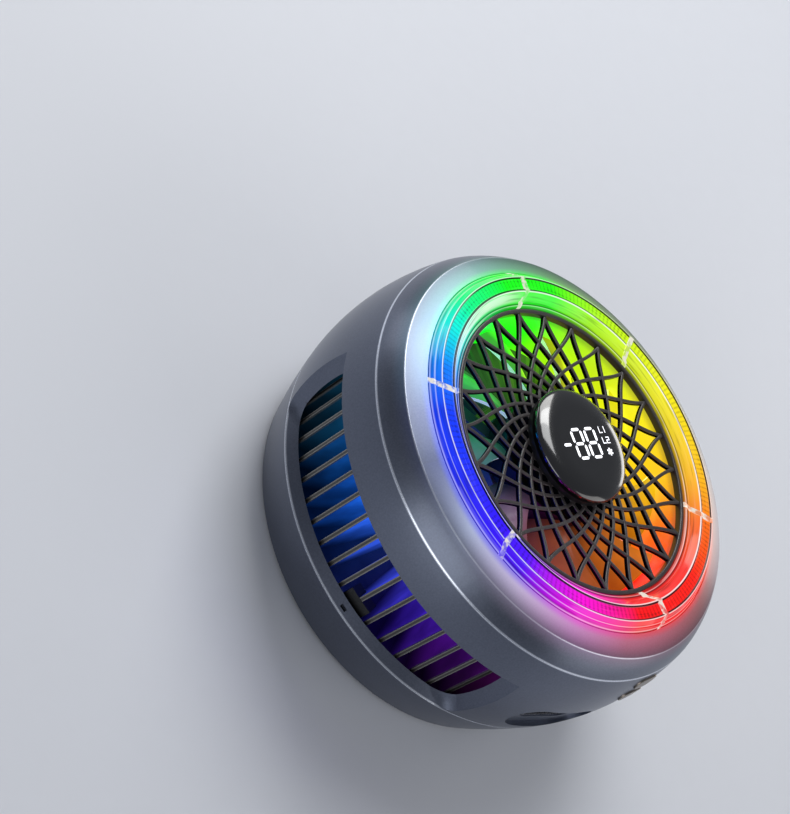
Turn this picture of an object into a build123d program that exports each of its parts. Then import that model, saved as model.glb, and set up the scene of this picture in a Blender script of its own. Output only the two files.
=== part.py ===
from build123d import *
import math
import os

# Phone cooling fan: a round cooler that sits on the back of a phone and blows through a heat sink.
# Millimetres and degrees. Z runs out of the front along the fan's axis, and zero is the face that
# rests on the phone. Plus Y is the top of the number display and plus X is its right side.

# Clearances that all pieces share
slip_gap = 0.05
loose_gap = 0.3
overrun = 1.0

# The stack along the axis, from the phone outwards
pad_thickness = 0.8
pad_proud = 0.4
plate_thickness = 2.0
ceramic_thickness = 0.8
pellet_height = 1.6
sink_base_thickness = 2.4
fin_height = 13.9
duct_height = 8.3
grille_rim_thickness = 1.1
front_lip_rise = 0.1

plate_bottom = pad_thickness
peltier_bottom = plate_bottom + plate_thickness
pellet_bottom = peltier_bottom + ceramic_thickness
hot_ceramic_bottom = pellet_bottom + pellet_height
sink_bottom = hot_ceramic_bottom + ceramic_thickness
fin_bottom = sink_bottom + sink_base_thickness
duct_bottom = fin_bottom + fin_height
grille_bottom = duct_bottom + duct_height
grille_top = grille_bottom + grille_rim_thickness
housing_top = grille_top + front_lip_rise

# Radii, from the fan outwards
duct_radius = 20.0
duct_wall = 0.6
lens_width = 5.25
front_land = 2.9
shoulder_land = 1.95
belly_swell = 1.38
sill_inset = 1.08
base_inset = 2.66

duct_outer = duct_radius + duct_wall
lens_inner = duct_outer + 2 * slip_gap
lens_outer = lens_inner + lens_width
mouth_radius = lens_outer + slip_gap
second_crease_radius = mouth_radius + front_land
first_crease_radius = second_crease_radius + shoulder_land
belly_radius = first_crease_radius + belly_swell
sill_radius = belly_radius - sill_inset
base_radius = sill_radius - base_inset

# Housing shell
wall = 1.6
sill_rise = 0.6
base_bulge = 0.14
first_crease_depth = 4.3
second_crease_depth = 1.05
shoulder_bulge = 0.12
foot_rounding = 0.3
sill_rounding = 0.2
first_crease_rounding = 0.4
second_crease_rounding = 0.25
mouth_lip_depth = 2.2
mouth_lip_wall = 1.92
inner_crease_drop = 0.5

base_bottom = pad_proud
sill_height = fin_bottom + sill_rise
first_crease_height = housing_top - first_crease_depth
second_crease_height = housing_top - second_crease_depth
belly_height = (sill_height + first_crease_height) / 2
inner_base_radius = base_radius - wall
inner_sill_radius = sill_radius - wall
inner_belly_radius = belly_radius - wall
inner_crease_radius = first_crease_radius - wall
inner_crease_height = first_crease_height - inner_crease_drop
mouth_lip_bottom = housing_top - mouth_lip_depth

# Side windows that the warm air leaves through
window_middle_angles = (191.25, 11.25)
window_half_angle = 48.75
window_end_slope_angle = 5.0
window_front_drop = 0.2
window_sill_rise = 1.5
window_corner_radius = 3.0
window_front = duct_bottom - window_front_drop
window_sill_height = sill_height + window_sill_rise
window_inner_radius = inner_sill_radius + slip_gap

# Small slot in the sloped sill
sill_slot_angle = -159.4
sill_slot_length = 1.0
sill_slot_width = 0.35
sill_slot_depth = 0.8

# The side that carries the board, the socket and the buttons, and the side across from it
service_angle = -83.0
service_half_angle = 34.0
board_half_angle = 26.5
boss_offset_angle = 30.5

# Bosses that the heat sink is screwed to
boss_radius = 1.6
boss_height = 5.0
boss_rib_width = 2.0
boss_inset = 2.7
boss_circle = inner_sill_radius - boss_inset

# Bosses that hang from the shoulder and hold the fan frame
ear_angles = (56.0, 146.0, 236.0, 326.0)
ear_radius = 1.4
ear_circle = mouth_radius + ear_radius + loose_gap + slip_gap
ear_boss_rise = 0.3

# Screws of the three sizes in the cooler
large_shank = 0.8
large_head = 1.5
large_head_height = 0.9
small_shank = 0.6
small_head = 1.1
small_head_height = 0.7
sink_screw_bite = 4.2
frame_screw_bite = 2.4
rear_screw_bite = 1.6

# Magnets that hold the cooler to the phone, and the steel ring behind them
cover_thickness = 1.2
magnet_count = 12
magnet_inset = 0.79
magnet_width = 4.4
magnet_height = 2.2
magnet_gap_angle = 6.0
yoke_thickness = 0.5
rear_screw_count = 4
cover_bottom = base_bottom
cover_top = cover_bottom + cover_thickness
cover_outer = inner_base_radius - 2 * slip_gap
magnet_outer = cover_outer - magnet_inset
magnet_inner = magnet_outer - magnet_width
magnet_top = cover_top + magnet_height
rear_screw_circle = magnet_inner + magnet_width / 2

# Rear face, from the magnets inwards
plate_flange_gap = 1.0
plate_flange_width = 3.4
pad_inset = 0.6
cover_bore_gap = 0.1
grip_inner_inset = 2.3
grip_outer_inset = 0.99
plate_flange_radius = magnet_inner - plate_flange_gap
plate_foot_radius = plate_flange_radius - plate_flange_width
pad_radius = plate_foot_radius - pad_inset
cover_bore = plate_foot_radius + cover_bore_gap
grip_inner = cover_bore + grip_inner_inset
grip_outer = cover_outer - grip_outer_inset

# Thermoelectric module between the cold plate and the heat sink
module_corner_gap = 1.5
pellet_rows = 8
pellet_side = 1.7
pellet_margin = 1.2
gasket_gap = 0.3
gasket_radius = magnet_inner - loose_gap
module_side = (gasket_radius - module_corner_gap) * math.sqrt(2)

# Heat sink
fin_count = 62
fin_turn = 3.85
fin_thickness = 0.6
fin_inner_radius = 11.0
short_fin_gap = 0.8
sink_base_inset = 1.1
fin_outer_radius = inner_sill_radius - loose_gap
sink_base_radius = inner_sill_radius - sink_base_inset

# Small dark block between the fins, just inside the window
vent_block_angle = -158.6
vent_block_half_angle = 3.8
vent_block_depth = 1.7
vent_block_height = 3.2

# Fan frame and motor
strut_count = 4
strut_width = 1.8
motor_base_thickness = 1.2
bearing_tube_outer = 3.0
bearing_tube_bore = 2.2
bearing_tube_gap = 0.3
stator_seat_width = 0.4
stator_seat_height = 1.15
baffle_thickness = 0.8
shelf_drop = 4.0
shelf_thickness = 1.0
shelf_width = 5.9
motor_base_top = duct_bottom + motor_base_thickness
shelf_top = grille_bottom - shelf_drop
shelf_bottom = shelf_top - shelf_thickness
shelf_outer = duct_outer + shelf_width
baffle_outer = inner_sill_radius - 2 * loose_gap

motor_board_thickness = 0.5
stator_height = 1.6
stator_gap = 0.3
stator_ring_width = 1.2
pole_count = 4
pole_width = 1.6
pole_shoe_depth = 0.6
pole_shoe_half_angle = 33.0
winding_thickness = 0.6
stator_bottom = motor_base_top + stator_seat_height
shaft_radius = 0.75
bearing_gap = 0.04
shaft_tip_gap = 0.1
shaft_seat_depth = 0.6

# Fan rotor
blade_count = 9
hub_wall = 0.8
hub_roof = 0.8
hub_height = 4.0
rotor_lift = 0.4
tip_gap = 0.45
blade_thickness = 0.7
blade_root_chord = 5.0
blade_tip_chord = 9.2
blade_root_pitch = 46.0
blade_tip_pitch = 26.0
rotor_yoke_thickness = 0.5
rotor_magnet_thickness = 0.8
rotor_bottom = motor_base_top + rotor_lift
rotor_top = rotor_bottom + hub_height
bearing_tube_top = rotor_top - hub_roof - bearing_tube_gap

# Light ring round the grille
light_board_thickness = 0.8
light_count = 24
light_side = 1.6
light_height = 0.8
guide_foot_width = 0.5
guide_roof = 1.6
guide_rib_height = 0.25
guide_rib_width = 0.4
guide_rib_count = 180
lens_depth = 1.4
lens_crest = 1.3
divider_width = 0.6
divider_proud = 0.1
divider_middle_angles = (63.1, 183.1, 303.1)
divider_half_angle = 25.2
divider_inner_slant = 1.4
divider_outer_slant = 1.1
light_board_bottom = shelf_top
light_board_top = light_board_bottom + light_board_thickness
lens_bottom = housing_top - lens_depth
lens_profile_shares = (
    (0.0, -0.12), (0.06, 0.04), (0.15, 0.1), (0.18, 0.3), (0.33, 0.9), (0.36, 1.0), (0.4, 1.0),
    (0.42, 0.9), (0.72, 0.9), (0.74, 1.0), (0.77, 1.0), (0.8, 0.86), (0.87, 0.48), (0.92, 0.4),
    (0.96, 0.06), (1.0, -0.08),
)
plateau_shares = (0.36, 0.77)
plateau_inner, plateau_outer = (lens_inner + share * lens_width for share in plateau_shares)

# Grille
rib_node_count = 24
rib_turn = 2.3
rib_width = 0.56
rib_depth = 0.65
rib_lean = 13.6
rib_curl = 105.0
smallest_gap_angle = 1.0
search_steps = 60
grille_rim_width = 0.65
grille_hub_width = 1.6
web_drop = 0.25
rim_ledge = 0.12
web_dish = 0.6
web_hub_depth = 1.0
grille_rim_outer = duct_outer + slip_gap
grille_rim_inner = grille_rim_outer - grille_rim_width
web_top_rim = grille_top - web_drop
web_top_hub = web_top_rim - web_dish
web_bottom_hub = web_top_hub - web_hub_depth

# Lit marks on the display, from the minus sign to the level marks
minus_centre_across = -4.0
minus_length = 1.5
minus_space = 0.62
digit_width = 2.35
digit_height = 4.5
digit_stroke = 0.42
digit_segment_gap = 0.34
digit_space = 0.41
digit_centre_up = -0.18
letter_space = 1.02
letter_height = 0.82
letter_width = 0.52
letter_stroke = 0.13
letter_pitch = 0.82
letter_rows_up = (1.56, 0.02)
snowflake_size = 1.1
snowflake_stroke = 0.24
snowflake_shift = 0.62
snowflake_up = -1.66
first_digit_across = minus_centre_across + minus_length / 2 + minus_space + digit_width / 2
second_digit_across = first_digit_across + digit_width + digit_space
letter_left = second_digit_across + digit_width / 2 + letter_space
snowflake_across = letter_left + snowflake_shift

# Number display in the middle of the grille, as wide as its marks need
marks_margin = 3.5
cup_inset = 0.2
cup_floor = 0.8
cup_skirt_depth = 1.2
cup_skirt_wall = 0.8
dome_height = 1.95
dome_rounding = 1.2
dome_wall = 0.9
display_board_thickness = 0.8
hub_ring_margin = 0.8
dome_radius = snowflake_across + snowflake_size / 2 + marks_margin
cup_radius = dome_radius - cup_inset
cup_bottom = web_top_hub
cup_top = cup_bottom + cup_floor
dome_top = cup_top + dome_height
display_board_radius = dome_radius - dome_wall - loose_gap
display_board_top = cup_top + display_board_thickness
grille_hub_outer = dome_radius + hub_ring_margin
grille_hub_inner = grille_hub_outer - grille_hub_width

# The motor's radii follow from the display that covers it
hub_radius = grille_hub_outer
motor_base_radius = hub_radius
hub_bore = hub_radius - hub_wall
rotor_yoke_inner = hub_bore - rotor_yoke_thickness
rotor_magnet_inner = rotor_yoke_inner - rotor_magnet_thickness
stator_outer = rotor_magnet_inner - stator_gap
motor_board_outer = stator_outer

# Control board, its standoffs and the parts on it
board_thickness = 1.0
board_width = 7.8
board_outer_gap = 0.55
standoff_height = 4.2
standoff_radius = 1.3
standoff_insets = (1.1, 1.1, 5.8)
standoff_offset_angles = (-24.0, 24.0, 17.0)
chip_side = 4.0
chip_height = 1.1
chip_inset = 2.4
chip_offset_angle = 9.0
standoff_bite = 3.0
board_bottom = fin_bottom + standoff_height
board_top = board_bottom + board_thickness
board_outer = inner_sill_radius - board_outer_gap
board_inner = board_outer - board_width
chip_circle = board_inner + chip_inset
short_fin_radius = board_inner - short_fin_gap

# Two push buttons one above the other, with their switches
button_drops = (5.2, 2.0)
button_width = 4.2
button_height = 2.2
button_proud = 0.22
button_gap = 0.12
button_flange_margin = 0.45
button_flange_thickness = 0.5
button_travel = 0.3
button_boss_drop = 0.4
button_boss_width = 6.6
button_boss_margin = 2.0
switch_width = 3.8
switch_height = 2.6
switch_depth = 0.8
plunger_radius = 0.6
plunger_reach = 0.3
switch_board_thickness = 0.8
switch_board_width = 5.2
switch_board_overhang = 2.2
switch_board_notch_gap = 0.2
button_heights = tuple(first_crease_height - drop for drop in button_drops)
flange_face = inner_crease_radius - button_boss_drop
flange_back = flange_face - button_flange_thickness
plunger_face = flange_back - button_travel - slip_gap
switch_front = plunger_face - plunger_reach
switch_board_front = switch_front - switch_depth
switch_board_back = switch_board_front - switch_board_thickness
switch_board_top = button_heights[-1] + switch_board_overhang

# Charging socket beside the switch board, and the recess for its plug
socket_side_gap = 0.124
socket_width = 8.94
socket_height = 3.26
socket_length = 6.8
socket_wall = 0.3
tongue_side_gap = 1.12
tongue_thickness = 0.7
tongue_end_gap = 2.0
socket_block_length = 1.6
recess_side_margin = 2.28
recess_end_margin = 1.87
recess_depth = 1.3
port_boss_margin = 0.8
port_boss_depth = 1.5
socket_sink = 0.2
socket_offset = (socket_width + switch_board_width) / 2 + socket_side_gap
socket_angle = service_angle - math.degrees(math.asin(socket_offset / switch_board_back))
socket_centre_height = board_top + socket_height / 2
tongue_width = socket_width - 2 * tongue_side_gap
tongue_length = socket_length - tongue_end_gap
recess_width = socket_width + 2 * recess_side_margin
recess_height = socket_height + 2 * recess_end_margin
recess_floor = belly_radius - recess_depth
socket_mouth = recess_floor - socket_sink
port_boss_inner = recess_floor - port_boss_depth


def polar(radius, degrees):
    """A point of the XY plane from its distance to the axis and its angle."""
    angle = math.radians(degrees)
    return (radius * math.cos(angle), radius * math.sin(angle))


def turned(corners, degrees=360.0):
    """A solid turned about the fan's axis from the corners of its half section."""
    outline = Polyline(*[(radius, 0, height) for radius, height in corners], close=True)
    return revolve(Face(Wire(outline.edges())), Axis.Z, degrees)


def ring(outer, inner, bottom, top):
    """A flat ring about the fan's axis."""
    return Pos(0, 0, bottom) * extrude(Circle(outer) - Circle(inner), amount=top - bottom)


def disc(radius, bottom, top):
    """A flat disc about the fan's axis."""
    return Pos(0, 0, bottom) * extrude(Circle(radius), amount=top - bottom)


def sector(outer, inner, bottom, top, middle_angle, half_angle):
    """A part of a flat ring, between two angles."""
    corners = [(inner, bottom), (outer, bottom), (outer, top), (inner, top)]
    return Rot(0, 0, middle_angle - half_angle) * turned(corners, 2 * half_angle)


def pin(radius, bottom, top, circle, degrees):
    """A round post that stands at an angle on a circle about the fan's axis."""
    return Pos(*polar(circle, degrees), 0) * disc(radius, bottom, top)


def facing(degrees, distance, height):
    """A plane that faces straight out at an angle, with its own Y along the fan's axis."""
    across = polar(1, degrees + 90)
    outward = polar(1, degrees)
    return Plane(origin=(*polar(distance, degrees), height), x_dir=(*across, 0), z_dir=(*outward, 0))


def box_out(degrees, near, far, width, bottom, top):
    """A box that runs outwards at an angle, from one distance to another."""
    plane = facing(degrees, near, (bottom + top) / 2)
    return extrude(plane * Rectangle(width, top - bottom), amount=far - near)


def slot_out(degrees, near, far, width, tall, height):
    """A round-ended block that runs outwards at an angle."""
    plane = facing(degrees, near, height)
    return extrude(plane * SlotOverall(width, tall), amount=far - near)


def group(shapes):
    """Several separate solids of one node."""
    return Compound([solid for shape in shapes for solid in shape.solids()])


def save(name, shape):
    """Write one node."""
    export_step(shape, os.path.join("parts", name + ".step"))


def belly_blank(proud):
    """A solid that follows the housing's belly and stands out from it by a small amount."""
    low = (sill_radius + proud, 0, sill_height)
    high = (first_crease_radius + proud, 0, first_crease_height)
    side = ThreePointArc(low, (belly_radius + proud, 0, belly_height), high)
    closing = Polyline(high, (0, 0, first_crease_height), (0, 0, sill_height), low)
    return revolve(Face(Wire([side.edge()] + closing.edges())), Axis.Z)


def housing_shell():
    """The turned shell, from its foot over the belly and the shoulder to the mouth."""
    base_middle = ((base_radius + sill_radius) / 2 + base_bulge, 0, (base_bottom + sill_height) / 2)
    shoulder_middle = (
        (first_crease_radius + second_crease_radius) / 2 + shoulder_bulge, 0,
        (first_crease_height + second_crease_height) / 2 + shoulder_bulge,
    )
    base_outer = (base_radius, 0, base_bottom)
    sill = (sill_radius, 0, sill_height)
    first_crease = (first_crease_radius, 0, first_crease_height)
    second_crease = (second_crease_radius, 0, second_crease_height)
    mouth_lip_outer = (mouth_radius + mouth_lip_wall, 0, mouth_lip_bottom)
    inner_crease = (inner_crease_radius, 0, inner_crease_height)
    inner_sill = (inner_sill_radius, 0, sill_height)
    edges = [
        ThreePointArc(base_outer, base_middle, sill),
        ThreePointArc(sill, (belly_radius, 0, belly_height), first_crease),
        ThreePointArc(first_crease, shoulder_middle, second_crease),
        Polyline(second_crease, (mouth_radius, 0, housing_top), (mouth_radius, 0, mouth_lip_bottom),
                 mouth_lip_outer, inner_crease),
        ThreePointArc(inner_crease, (inner_belly_radius, 0, belly_height), inner_sill),
        Polyline(inner_sill, (inner_base_radius, 0, base_bottom), base_outer),
    ]
    outline = Wire([edge for line in edges for edge in line.edges()])
    section = Face(outline)
    creases = (
        (base_radius, base_bottom, foot_rounding), (sill_radius, sill_height, sill_rounding),
        (first_crease_radius, first_crease_height, first_crease_rounding),
        (second_crease_radius, second_crease_height, second_crease_rounding),
    )
    for radius, height, rounding in creases:
        corner = section.vertices().sort_by_distance((radius, 0, height))[0]
        section = section.fillet_2d(rounding, [corner])
    return revolve(section, Axis.Z)


def window_cut(middle_angle):
    """The tool for one side window: sloped along the sill and at both ends, sharp at the front."""
    slope = (window_sill_height - sill_height) / (sill_radius - window_inner_radius)
    far = belly_radius + overrun
    near = inner_sill_radius - wall
    section = [
        (near, window_sill_height), (window_inner_radius, window_sill_height),
        (far, window_sill_height - slope * (far - window_inner_radius)),
        (far, window_front), (near, window_front),
    ]
    half_reach = window_half_angle + 2 * window_end_slope_angle
    band = Rot(0, 0, -half_reach) * turned(section, 2 * half_reach)
    inner_half = window_half_angle - window_end_slope_angle
    root = polar(window_inner_radius, inner_half)
    edge = polar(belly_radius, window_half_angle)
    tip = (2 * edge[0] - root[0], 2 * edge[1] - root[1])
    side = [polar(near - overrun, inner_half), root, tip, polar(2 * belly_radius, inner_half)]
    mirrored = [(x, -y) for x, y in reversed(side)]
    wedge = extrude(make_face(Polyline(*side, *mirrored, close=True)), amount=housing_top)
    tool = (band & wedge).solid()
    corners = [edge for edge in tool.edges() if is_sill_corner(edge, inner_half)]
    return Rot(0, 0, middle_angle) * fillet(corners, window_corner_radius)


def is_sill_corner(edge, inner_half):
    """True for the edges where the window's sill meets its two ends."""
    middle = edge @ 0.5
    start = edge @ 0
    end = edge @ 1
    angle = abs(math.degrees(math.atan2(middle.Y, middle.X)))
    at_end = angle > inner_half - window_end_slope_angle / 2
    below = max(start.Z, middle.Z, end.Z) < window_sill_height + slip_gap
    across = abs(math.hypot(start.X, start.Y) - math.hypot(end.X, end.Y)) > slip_gap
    return at_end and below and across


def boss_angles():
    """The four angles of the heat sink's screws."""
    sides = (service_angle, service_angle + 180)
    return [side + sign * boss_offset_angle for side in sides for sign in (-1, 1)]


def make_housing():
    """The shell with its windows, screw bosses, plug recess and button holes."""
    shell = housing_shell()
    for degrees in boss_angles():
        top = fin_bottom + boss_height
        shell += pin(boss_radius, fin_bottom, top, boss_circle, degrees)
        shell += box_out(degrees, boss_circle, inner_belly_radius, boss_rib_width, fin_bottom, top)
    for degrees in ear_angles:
        shell += pin(ear_radius, shelf_top, mouth_lip_bottom + ear_boss_rise, ear_circle, degrees)
    shell += slot_out(socket_angle, port_boss_inner, recess_floor + slip_gap,
                      recess_width + 2 * port_boss_margin, recess_height + 2 * port_boss_margin,
                      socket_centre_height)
    shell += box_out(service_angle, flange_face, inner_crease_radius + wall / 2, button_boss_width,
                     button_heights[0] - button_boss_margin, inner_crease_height)
    for middle_angle in window_middle_angles:
        shell -= window_cut(middle_angle)
    outside = belly_radius + overrun
    shell -= slot_out(socket_angle, recess_floor, outside, recess_width, recess_height, socket_centre_height)
    shell -= slot_out(socket_angle, port_boss_inner - overrun, outside, socket_width + 2 * slip_gap,
                      socket_height + 2 * slip_gap, socket_centre_height)
    for height in button_heights:
        shell -= slot_out(service_angle, flange_face, outside, button_width + 2 * button_gap,
                          button_height + 2 * button_gap, height)
    for degrees in boss_angles():
        shell -= pin(large_shank, fin_bottom - overrun, fin_bottom + sink_screw_bite, boss_circle, degrees)
    for degrees in ear_angles:
        shell -= pin(small_shank, shelf_top - overrun, shelf_top + frame_screw_bite, ear_circle, degrees)
    slot_radius = (sill_radius + window_inner_radius) / 2
    slot_middle = (sill_height + window_sill_height) / 2
    shell -= box_out(sill_slot_angle, slot_radius, slot_radius + sill_slot_width, sill_slot_length,
                     slot_middle - sill_slot_depth, slot_middle + overrun)
    return shell


def make_rear_cover():
    """The ring that closes the back, round the cold plate's foot."""
    cover = ring(cover_outer, cover_bore, cover_bottom, cover_top)
    for degrees in rear_screw_angles():
        cover -= pin(large_shank + slip_gap, cover_bottom - overrun, cover_top + overrun,
                     rear_screw_circle, degrees)
        cover -= pin(large_head + slip_gap, cover_bottom - overrun, cover_bottom + large_head_height,
                     rear_screw_circle, degrees)
    return cover


def rear_screw_angles():
    """The angles of the rear screws, each in a gap between two magnets."""
    pitch = 360 / magnet_count
    step = 360 / rear_screw_count
    return [pitch / 2 + step * index for index in range(rear_screw_count)]


def make_screws(shank, head, head_height, head_bottom, bite_top, circle, angles):
    """Screws that all point along the fan's axis, heads towards the phone."""
    screws = []
    for degrees in angles:
        screw = pin(head, head_bottom, head_bottom + head_height, circle, degrees)
        screw += pin(shank, head_bottom, bite_top, circle, degrees)
        screws.append(screw)
    return group(screws)


def make_magnets():
    """Magnet blocks in a circle."""
    pitch = 360 / magnet_count
    half = (pitch - magnet_gap_angle) / 2
    return group([sector(magnet_outer, magnet_inner, cover_top, magnet_top, pitch * index, half)
                  for index in range(magnet_count)])


def make_magnet_yoke():
    """The steel ring that lies on the magnets."""
    yoke = ring(magnet_outer, magnet_inner, magnet_top, magnet_top + yoke_thickness)
    for degrees in rear_screw_angles():
        yoke -= pin(large_shank + slip_gap, magnet_top - overrun, magnet_top + yoke_thickness + overrun,
                    rear_screw_circle, degrees)
    return yoke


def make_cold_plate():
    """The stepped plate that the rear cover holds by its flange."""
    foot = disc(plate_foot_radius, plate_bottom, cover_top)
    return foot + disc(plate_flange_radius, cover_top, peltier_bottom)


def module_slab(bottom, top, side):
    """A square slab about the fan's axis."""
    return Pos(0, 0, bottom) * extrude(Rectangle(side, side), amount=top - bottom)


def make_pellets():
    """The rows of small blocks inside the thermoelectric module."""
    span = module_side - 2 * pellet_margin - pellet_side
    places = [span * (index / (pellet_rows - 1) - 0.5) for index in range(pellet_rows)]
    return group([Pos(x, y, 0) * module_slab(pellet_bottom, hot_ceramic_bottom, pellet_side)
                  for x in places for y in places])


def make_gasket():
    """The foam that fills the space round the module."""
    gasket = disc(gasket_radius, peltier_bottom, sink_bottom)
    return gasket - module_slab(peltier_bottom - overrun, sink_bottom + overrun, module_side + 2 * gasket_gap)


def on_service_side(degrees):
    """True where a fin has to stay short for the board or for the bosses across from it."""
    away = abs((degrees - service_angle + 90) % 180 - 90)
    return away < service_half_angle


def make_heat_sink():
    """The base disc and its upright fins, cut round the small block at the window."""
    fins = []
    for index in range(fin_count):
        degrees = fin_turn + 360 / fin_count * index
        outer = short_fin_radius if on_service_side(degrees) else fin_outer_radius
        length = outer - fin_inner_radius
        middle = fin_inner_radius + length / 2
        fins.append(Rot(0, 0, degrees) * Pos(middle, 0, 0) * Rectangle(length, fin_thickness))
    upright = [Pos(0, 0, fin_bottom) * extrude(fin, amount=fin_height) for fin in fins]
    sink = disc(sink_base_radius, sink_bottom, fin_bottom) + upright
    sink -= sector(fin_outer_radius + overrun, fin_outer_radius - vent_block_depth - slip_gap, fin_bottom,
                   fin_bottom + vent_block_height + slip_gap, vent_block_angle,
                   vent_block_half_angle + fin_thickness)
    for degrees in boss_angles():
        sink -= pin(large_shank + slip_gap, sink_bottom - overrun, fin_bottom + overrun, boss_circle, degrees)
    for degrees in rear_screw_angles():
        sink -= pin(large_shank, sink_bottom - overrun, sink_bottom + rear_screw_bite,
                    rear_screw_circle, degrees)
    for circle, degrees in standoff_places():
        sink -= pin(small_shank, fin_bottom - sink_base_thickness / 2, fin_bottom + overrun, circle, degrees)
    return sink


def make_vent_block():
    """The small dark block at the foot of the fins."""
    return sector(fin_outer_radius, fin_outer_radius - vent_block_depth, fin_bottom,
                  fin_bottom + vent_block_height, vent_block_angle, vent_block_half_angle)


def standoff_places():
    """Circle and angle of each standoff under the control board."""
    return [(board_inner + inset, service_angle + offset)
            for inset, offset in zip(standoff_insets, standoff_offset_angles)]


def make_control_board():
    """The board that lies on the standoffs beside the fins."""
    board = sector(board_outer, board_inner, board_bottom, board_top, service_angle, board_half_angle)
    for circle, degrees in standoff_places():
        board -= pin(small_shank + slip_gap, board_bottom - overrun, board_top + overrun, circle, degrees)
    return board


def make_standoffs():
    """Round posts that carry the control board."""
    posts = []
    for circle, degrees in standoff_places():
        post = pin(standoff_radius, fin_bottom, board_bottom, circle, degrees)
        post -= pin(small_shank, board_bottom - standoff_bite, board_bottom + overrun, circle, degrees)
        posts.append(post)
    return group(posts)


def make_board_screws():
    """Screws that press the control board on its standoffs."""
    screws = []
    for circle, degrees in standoff_places():
        screw = pin(small_head, board_top, board_top + small_head_height, circle, degrees)
        screw += pin(small_shank, board_bottom - standoff_bite, board_top, circle, degrees)
        screws.append(screw)
    return group(screws)


def make_chip():
    """The square chip on the control board."""
    return box_out(service_angle + chip_offset_angle, chip_circle - chip_side / 2,
                   chip_circle + chip_side / 2, chip_side, board_top, board_top + chip_height)


def make_socket_shell():
    """The round-ended metal shell of the charging socket, closed at the back."""
    back = socket_mouth - socket_length
    shell = slot_out(socket_angle, back, socket_mouth, socket_width, socket_height, socket_centre_height)
    return shell - slot_out(socket_angle, back + socket_wall, socket_mouth + overrun,
                            socket_width - 2 * socket_wall, socket_height - 2 * socket_wall,
                            socket_centre_height)


def make_socket_tongue():
    """The contact tongue and the block that it stands on."""
    back = socket_mouth - socket_length + socket_wall
    block = slot_out(socket_angle, back, back + socket_block_length, socket_width - 2 * socket_wall,
                     socket_height - 2 * socket_wall, socket_centre_height)
    low = socket_centre_height - tongue_thickness / 2
    return block + box_out(socket_angle, back, back + socket_block_length + tongue_length - socket_wall,
                           tongue_width, low, low + tongue_thickness)


def make_switch_board():
    """The small upright board behind the buttons, standing on the control board."""
    return box_out(service_angle, switch_board_back, switch_board_front, switch_board_width,
                   board_top, switch_board_top)


def make_switches():
    """A push switch behind each button."""
    switches = []
    for height in button_heights:
        switch = box_out(service_angle, switch_board_front, switch_front, switch_width,
                         height - switch_height / 2, height + switch_height / 2)
        plane = facing(service_angle, switch_front, height)
        switches.append(switch + extrude(plane * Circle(plunger_radius), amount=plunger_reach))
    return group(switches)


def make_button(height):
    """A round-ended cap that stands a little out of the wall, with a flange inside it."""
    cap = slot_out(service_angle, flange_back, belly_radius + overrun, button_width, button_height, height)
    cap &= belly_blank(button_proud)
    return cap + slot_out(service_angle, flange_back, flange_face, button_width + 2 * button_flange_margin,
                          button_height + 2 * button_flange_margin - slip_gap, height)


def make_fan_frame():
    """The duct with its motor base, struts, bearing tube, air baffle and shelf for the lights."""
    frame = ring(duct_outer, duct_radius, duct_bottom, grille_bottom)
    frame += disc(motor_base_radius, duct_bottom, motor_base_top)
    for index in range(strut_count):
        frame += box_out(360 / strut_count * (index + 0.5), 0, duct_radius + duct_wall / 2, strut_width,
                         duct_bottom, motor_base_top)
    frame += disc(bearing_tube_outer, motor_base_top, bearing_tube_top)
    frame += disc(bearing_tube_outer + stator_seat_width, motor_base_top, stator_bottom)
    frame -= disc(bearing_tube_bore, motor_base_top, bearing_tube_top + overrun)
    baffle = ring(baffle_outer, duct_outer - duct_wall / 2, duct_bottom, duct_bottom + baffle_thickness)
    baffle -= sector(baffle_outer + overrun, duct_outer + slip_gap, duct_bottom - overrun,
                     duct_bottom + baffle_thickness + overrun, service_angle, service_half_angle)
    frame += baffle
    shelf = ring(shelf_outer, duct_outer - duct_wall / 2, shelf_bottom, shelf_top)
    for degrees in ear_angles:
        shelf += pin(ear_radius, shelf_bottom, shelf_top, ear_circle, degrees)
        shelf -= pin(small_shank + slip_gap, shelf_bottom - overrun, shelf_top + overrun, ear_circle, degrees)
    shelf -= box_out(service_angle, switch_board_back - switch_board_notch_gap, shelf_outer + overrun,
                     switch_board_width + 2 * switch_board_notch_gap, shelf_bottom - overrun,
                     shelf_top + overrun)
    return frame + shelf


def make_motor_board():
    """The ring-shaped board under the stator."""
    return ring(motor_board_outer, bearing_tube_outer + stator_seat_width + slip_gap, motor_base_top,
                motor_base_top + motor_board_thickness)


def make_stator():
    """The iron core with its poles."""
    bore = bearing_tube_outer + slip_gap
    top = stator_bottom + stator_height
    core = ring(bore + stator_ring_width, bore, stator_bottom, top)
    for index in range(pole_count):
        degrees = 360 / pole_count * index
        core += box_out(degrees, bore + stator_ring_width / 2, stator_outer - pole_shoe_depth / 2,
                        pole_width, stator_bottom, top)
        core += sector(stator_outer, stator_outer - pole_shoe_depth, stator_bottom, top,
                       degrees, pole_shoe_half_angle)
    return core


def make_windings():
    """A winding round each pole, as a plain closed block."""
    near = bearing_tube_outer + slip_gap + stator_ring_width + slip_gap
    far = stator_outer - pole_shoe_depth - 2 * slip_gap
    low = stator_bottom - winding_thickness
    high = stator_bottom + stator_height + winding_thickness
    windings = []
    for index in range(pole_count):
        degrees = 360 / pole_count * index
        block = box_out(degrees, near, far, pole_width + 2 * winding_thickness, low, high)
        block -= box_out(degrees, near - overrun, far + overrun, pole_width, stator_bottom,
                         stator_bottom + stator_height)
        block &= ring(far, near, low, high)
        windings.append(block)
    return group(windings)


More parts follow.
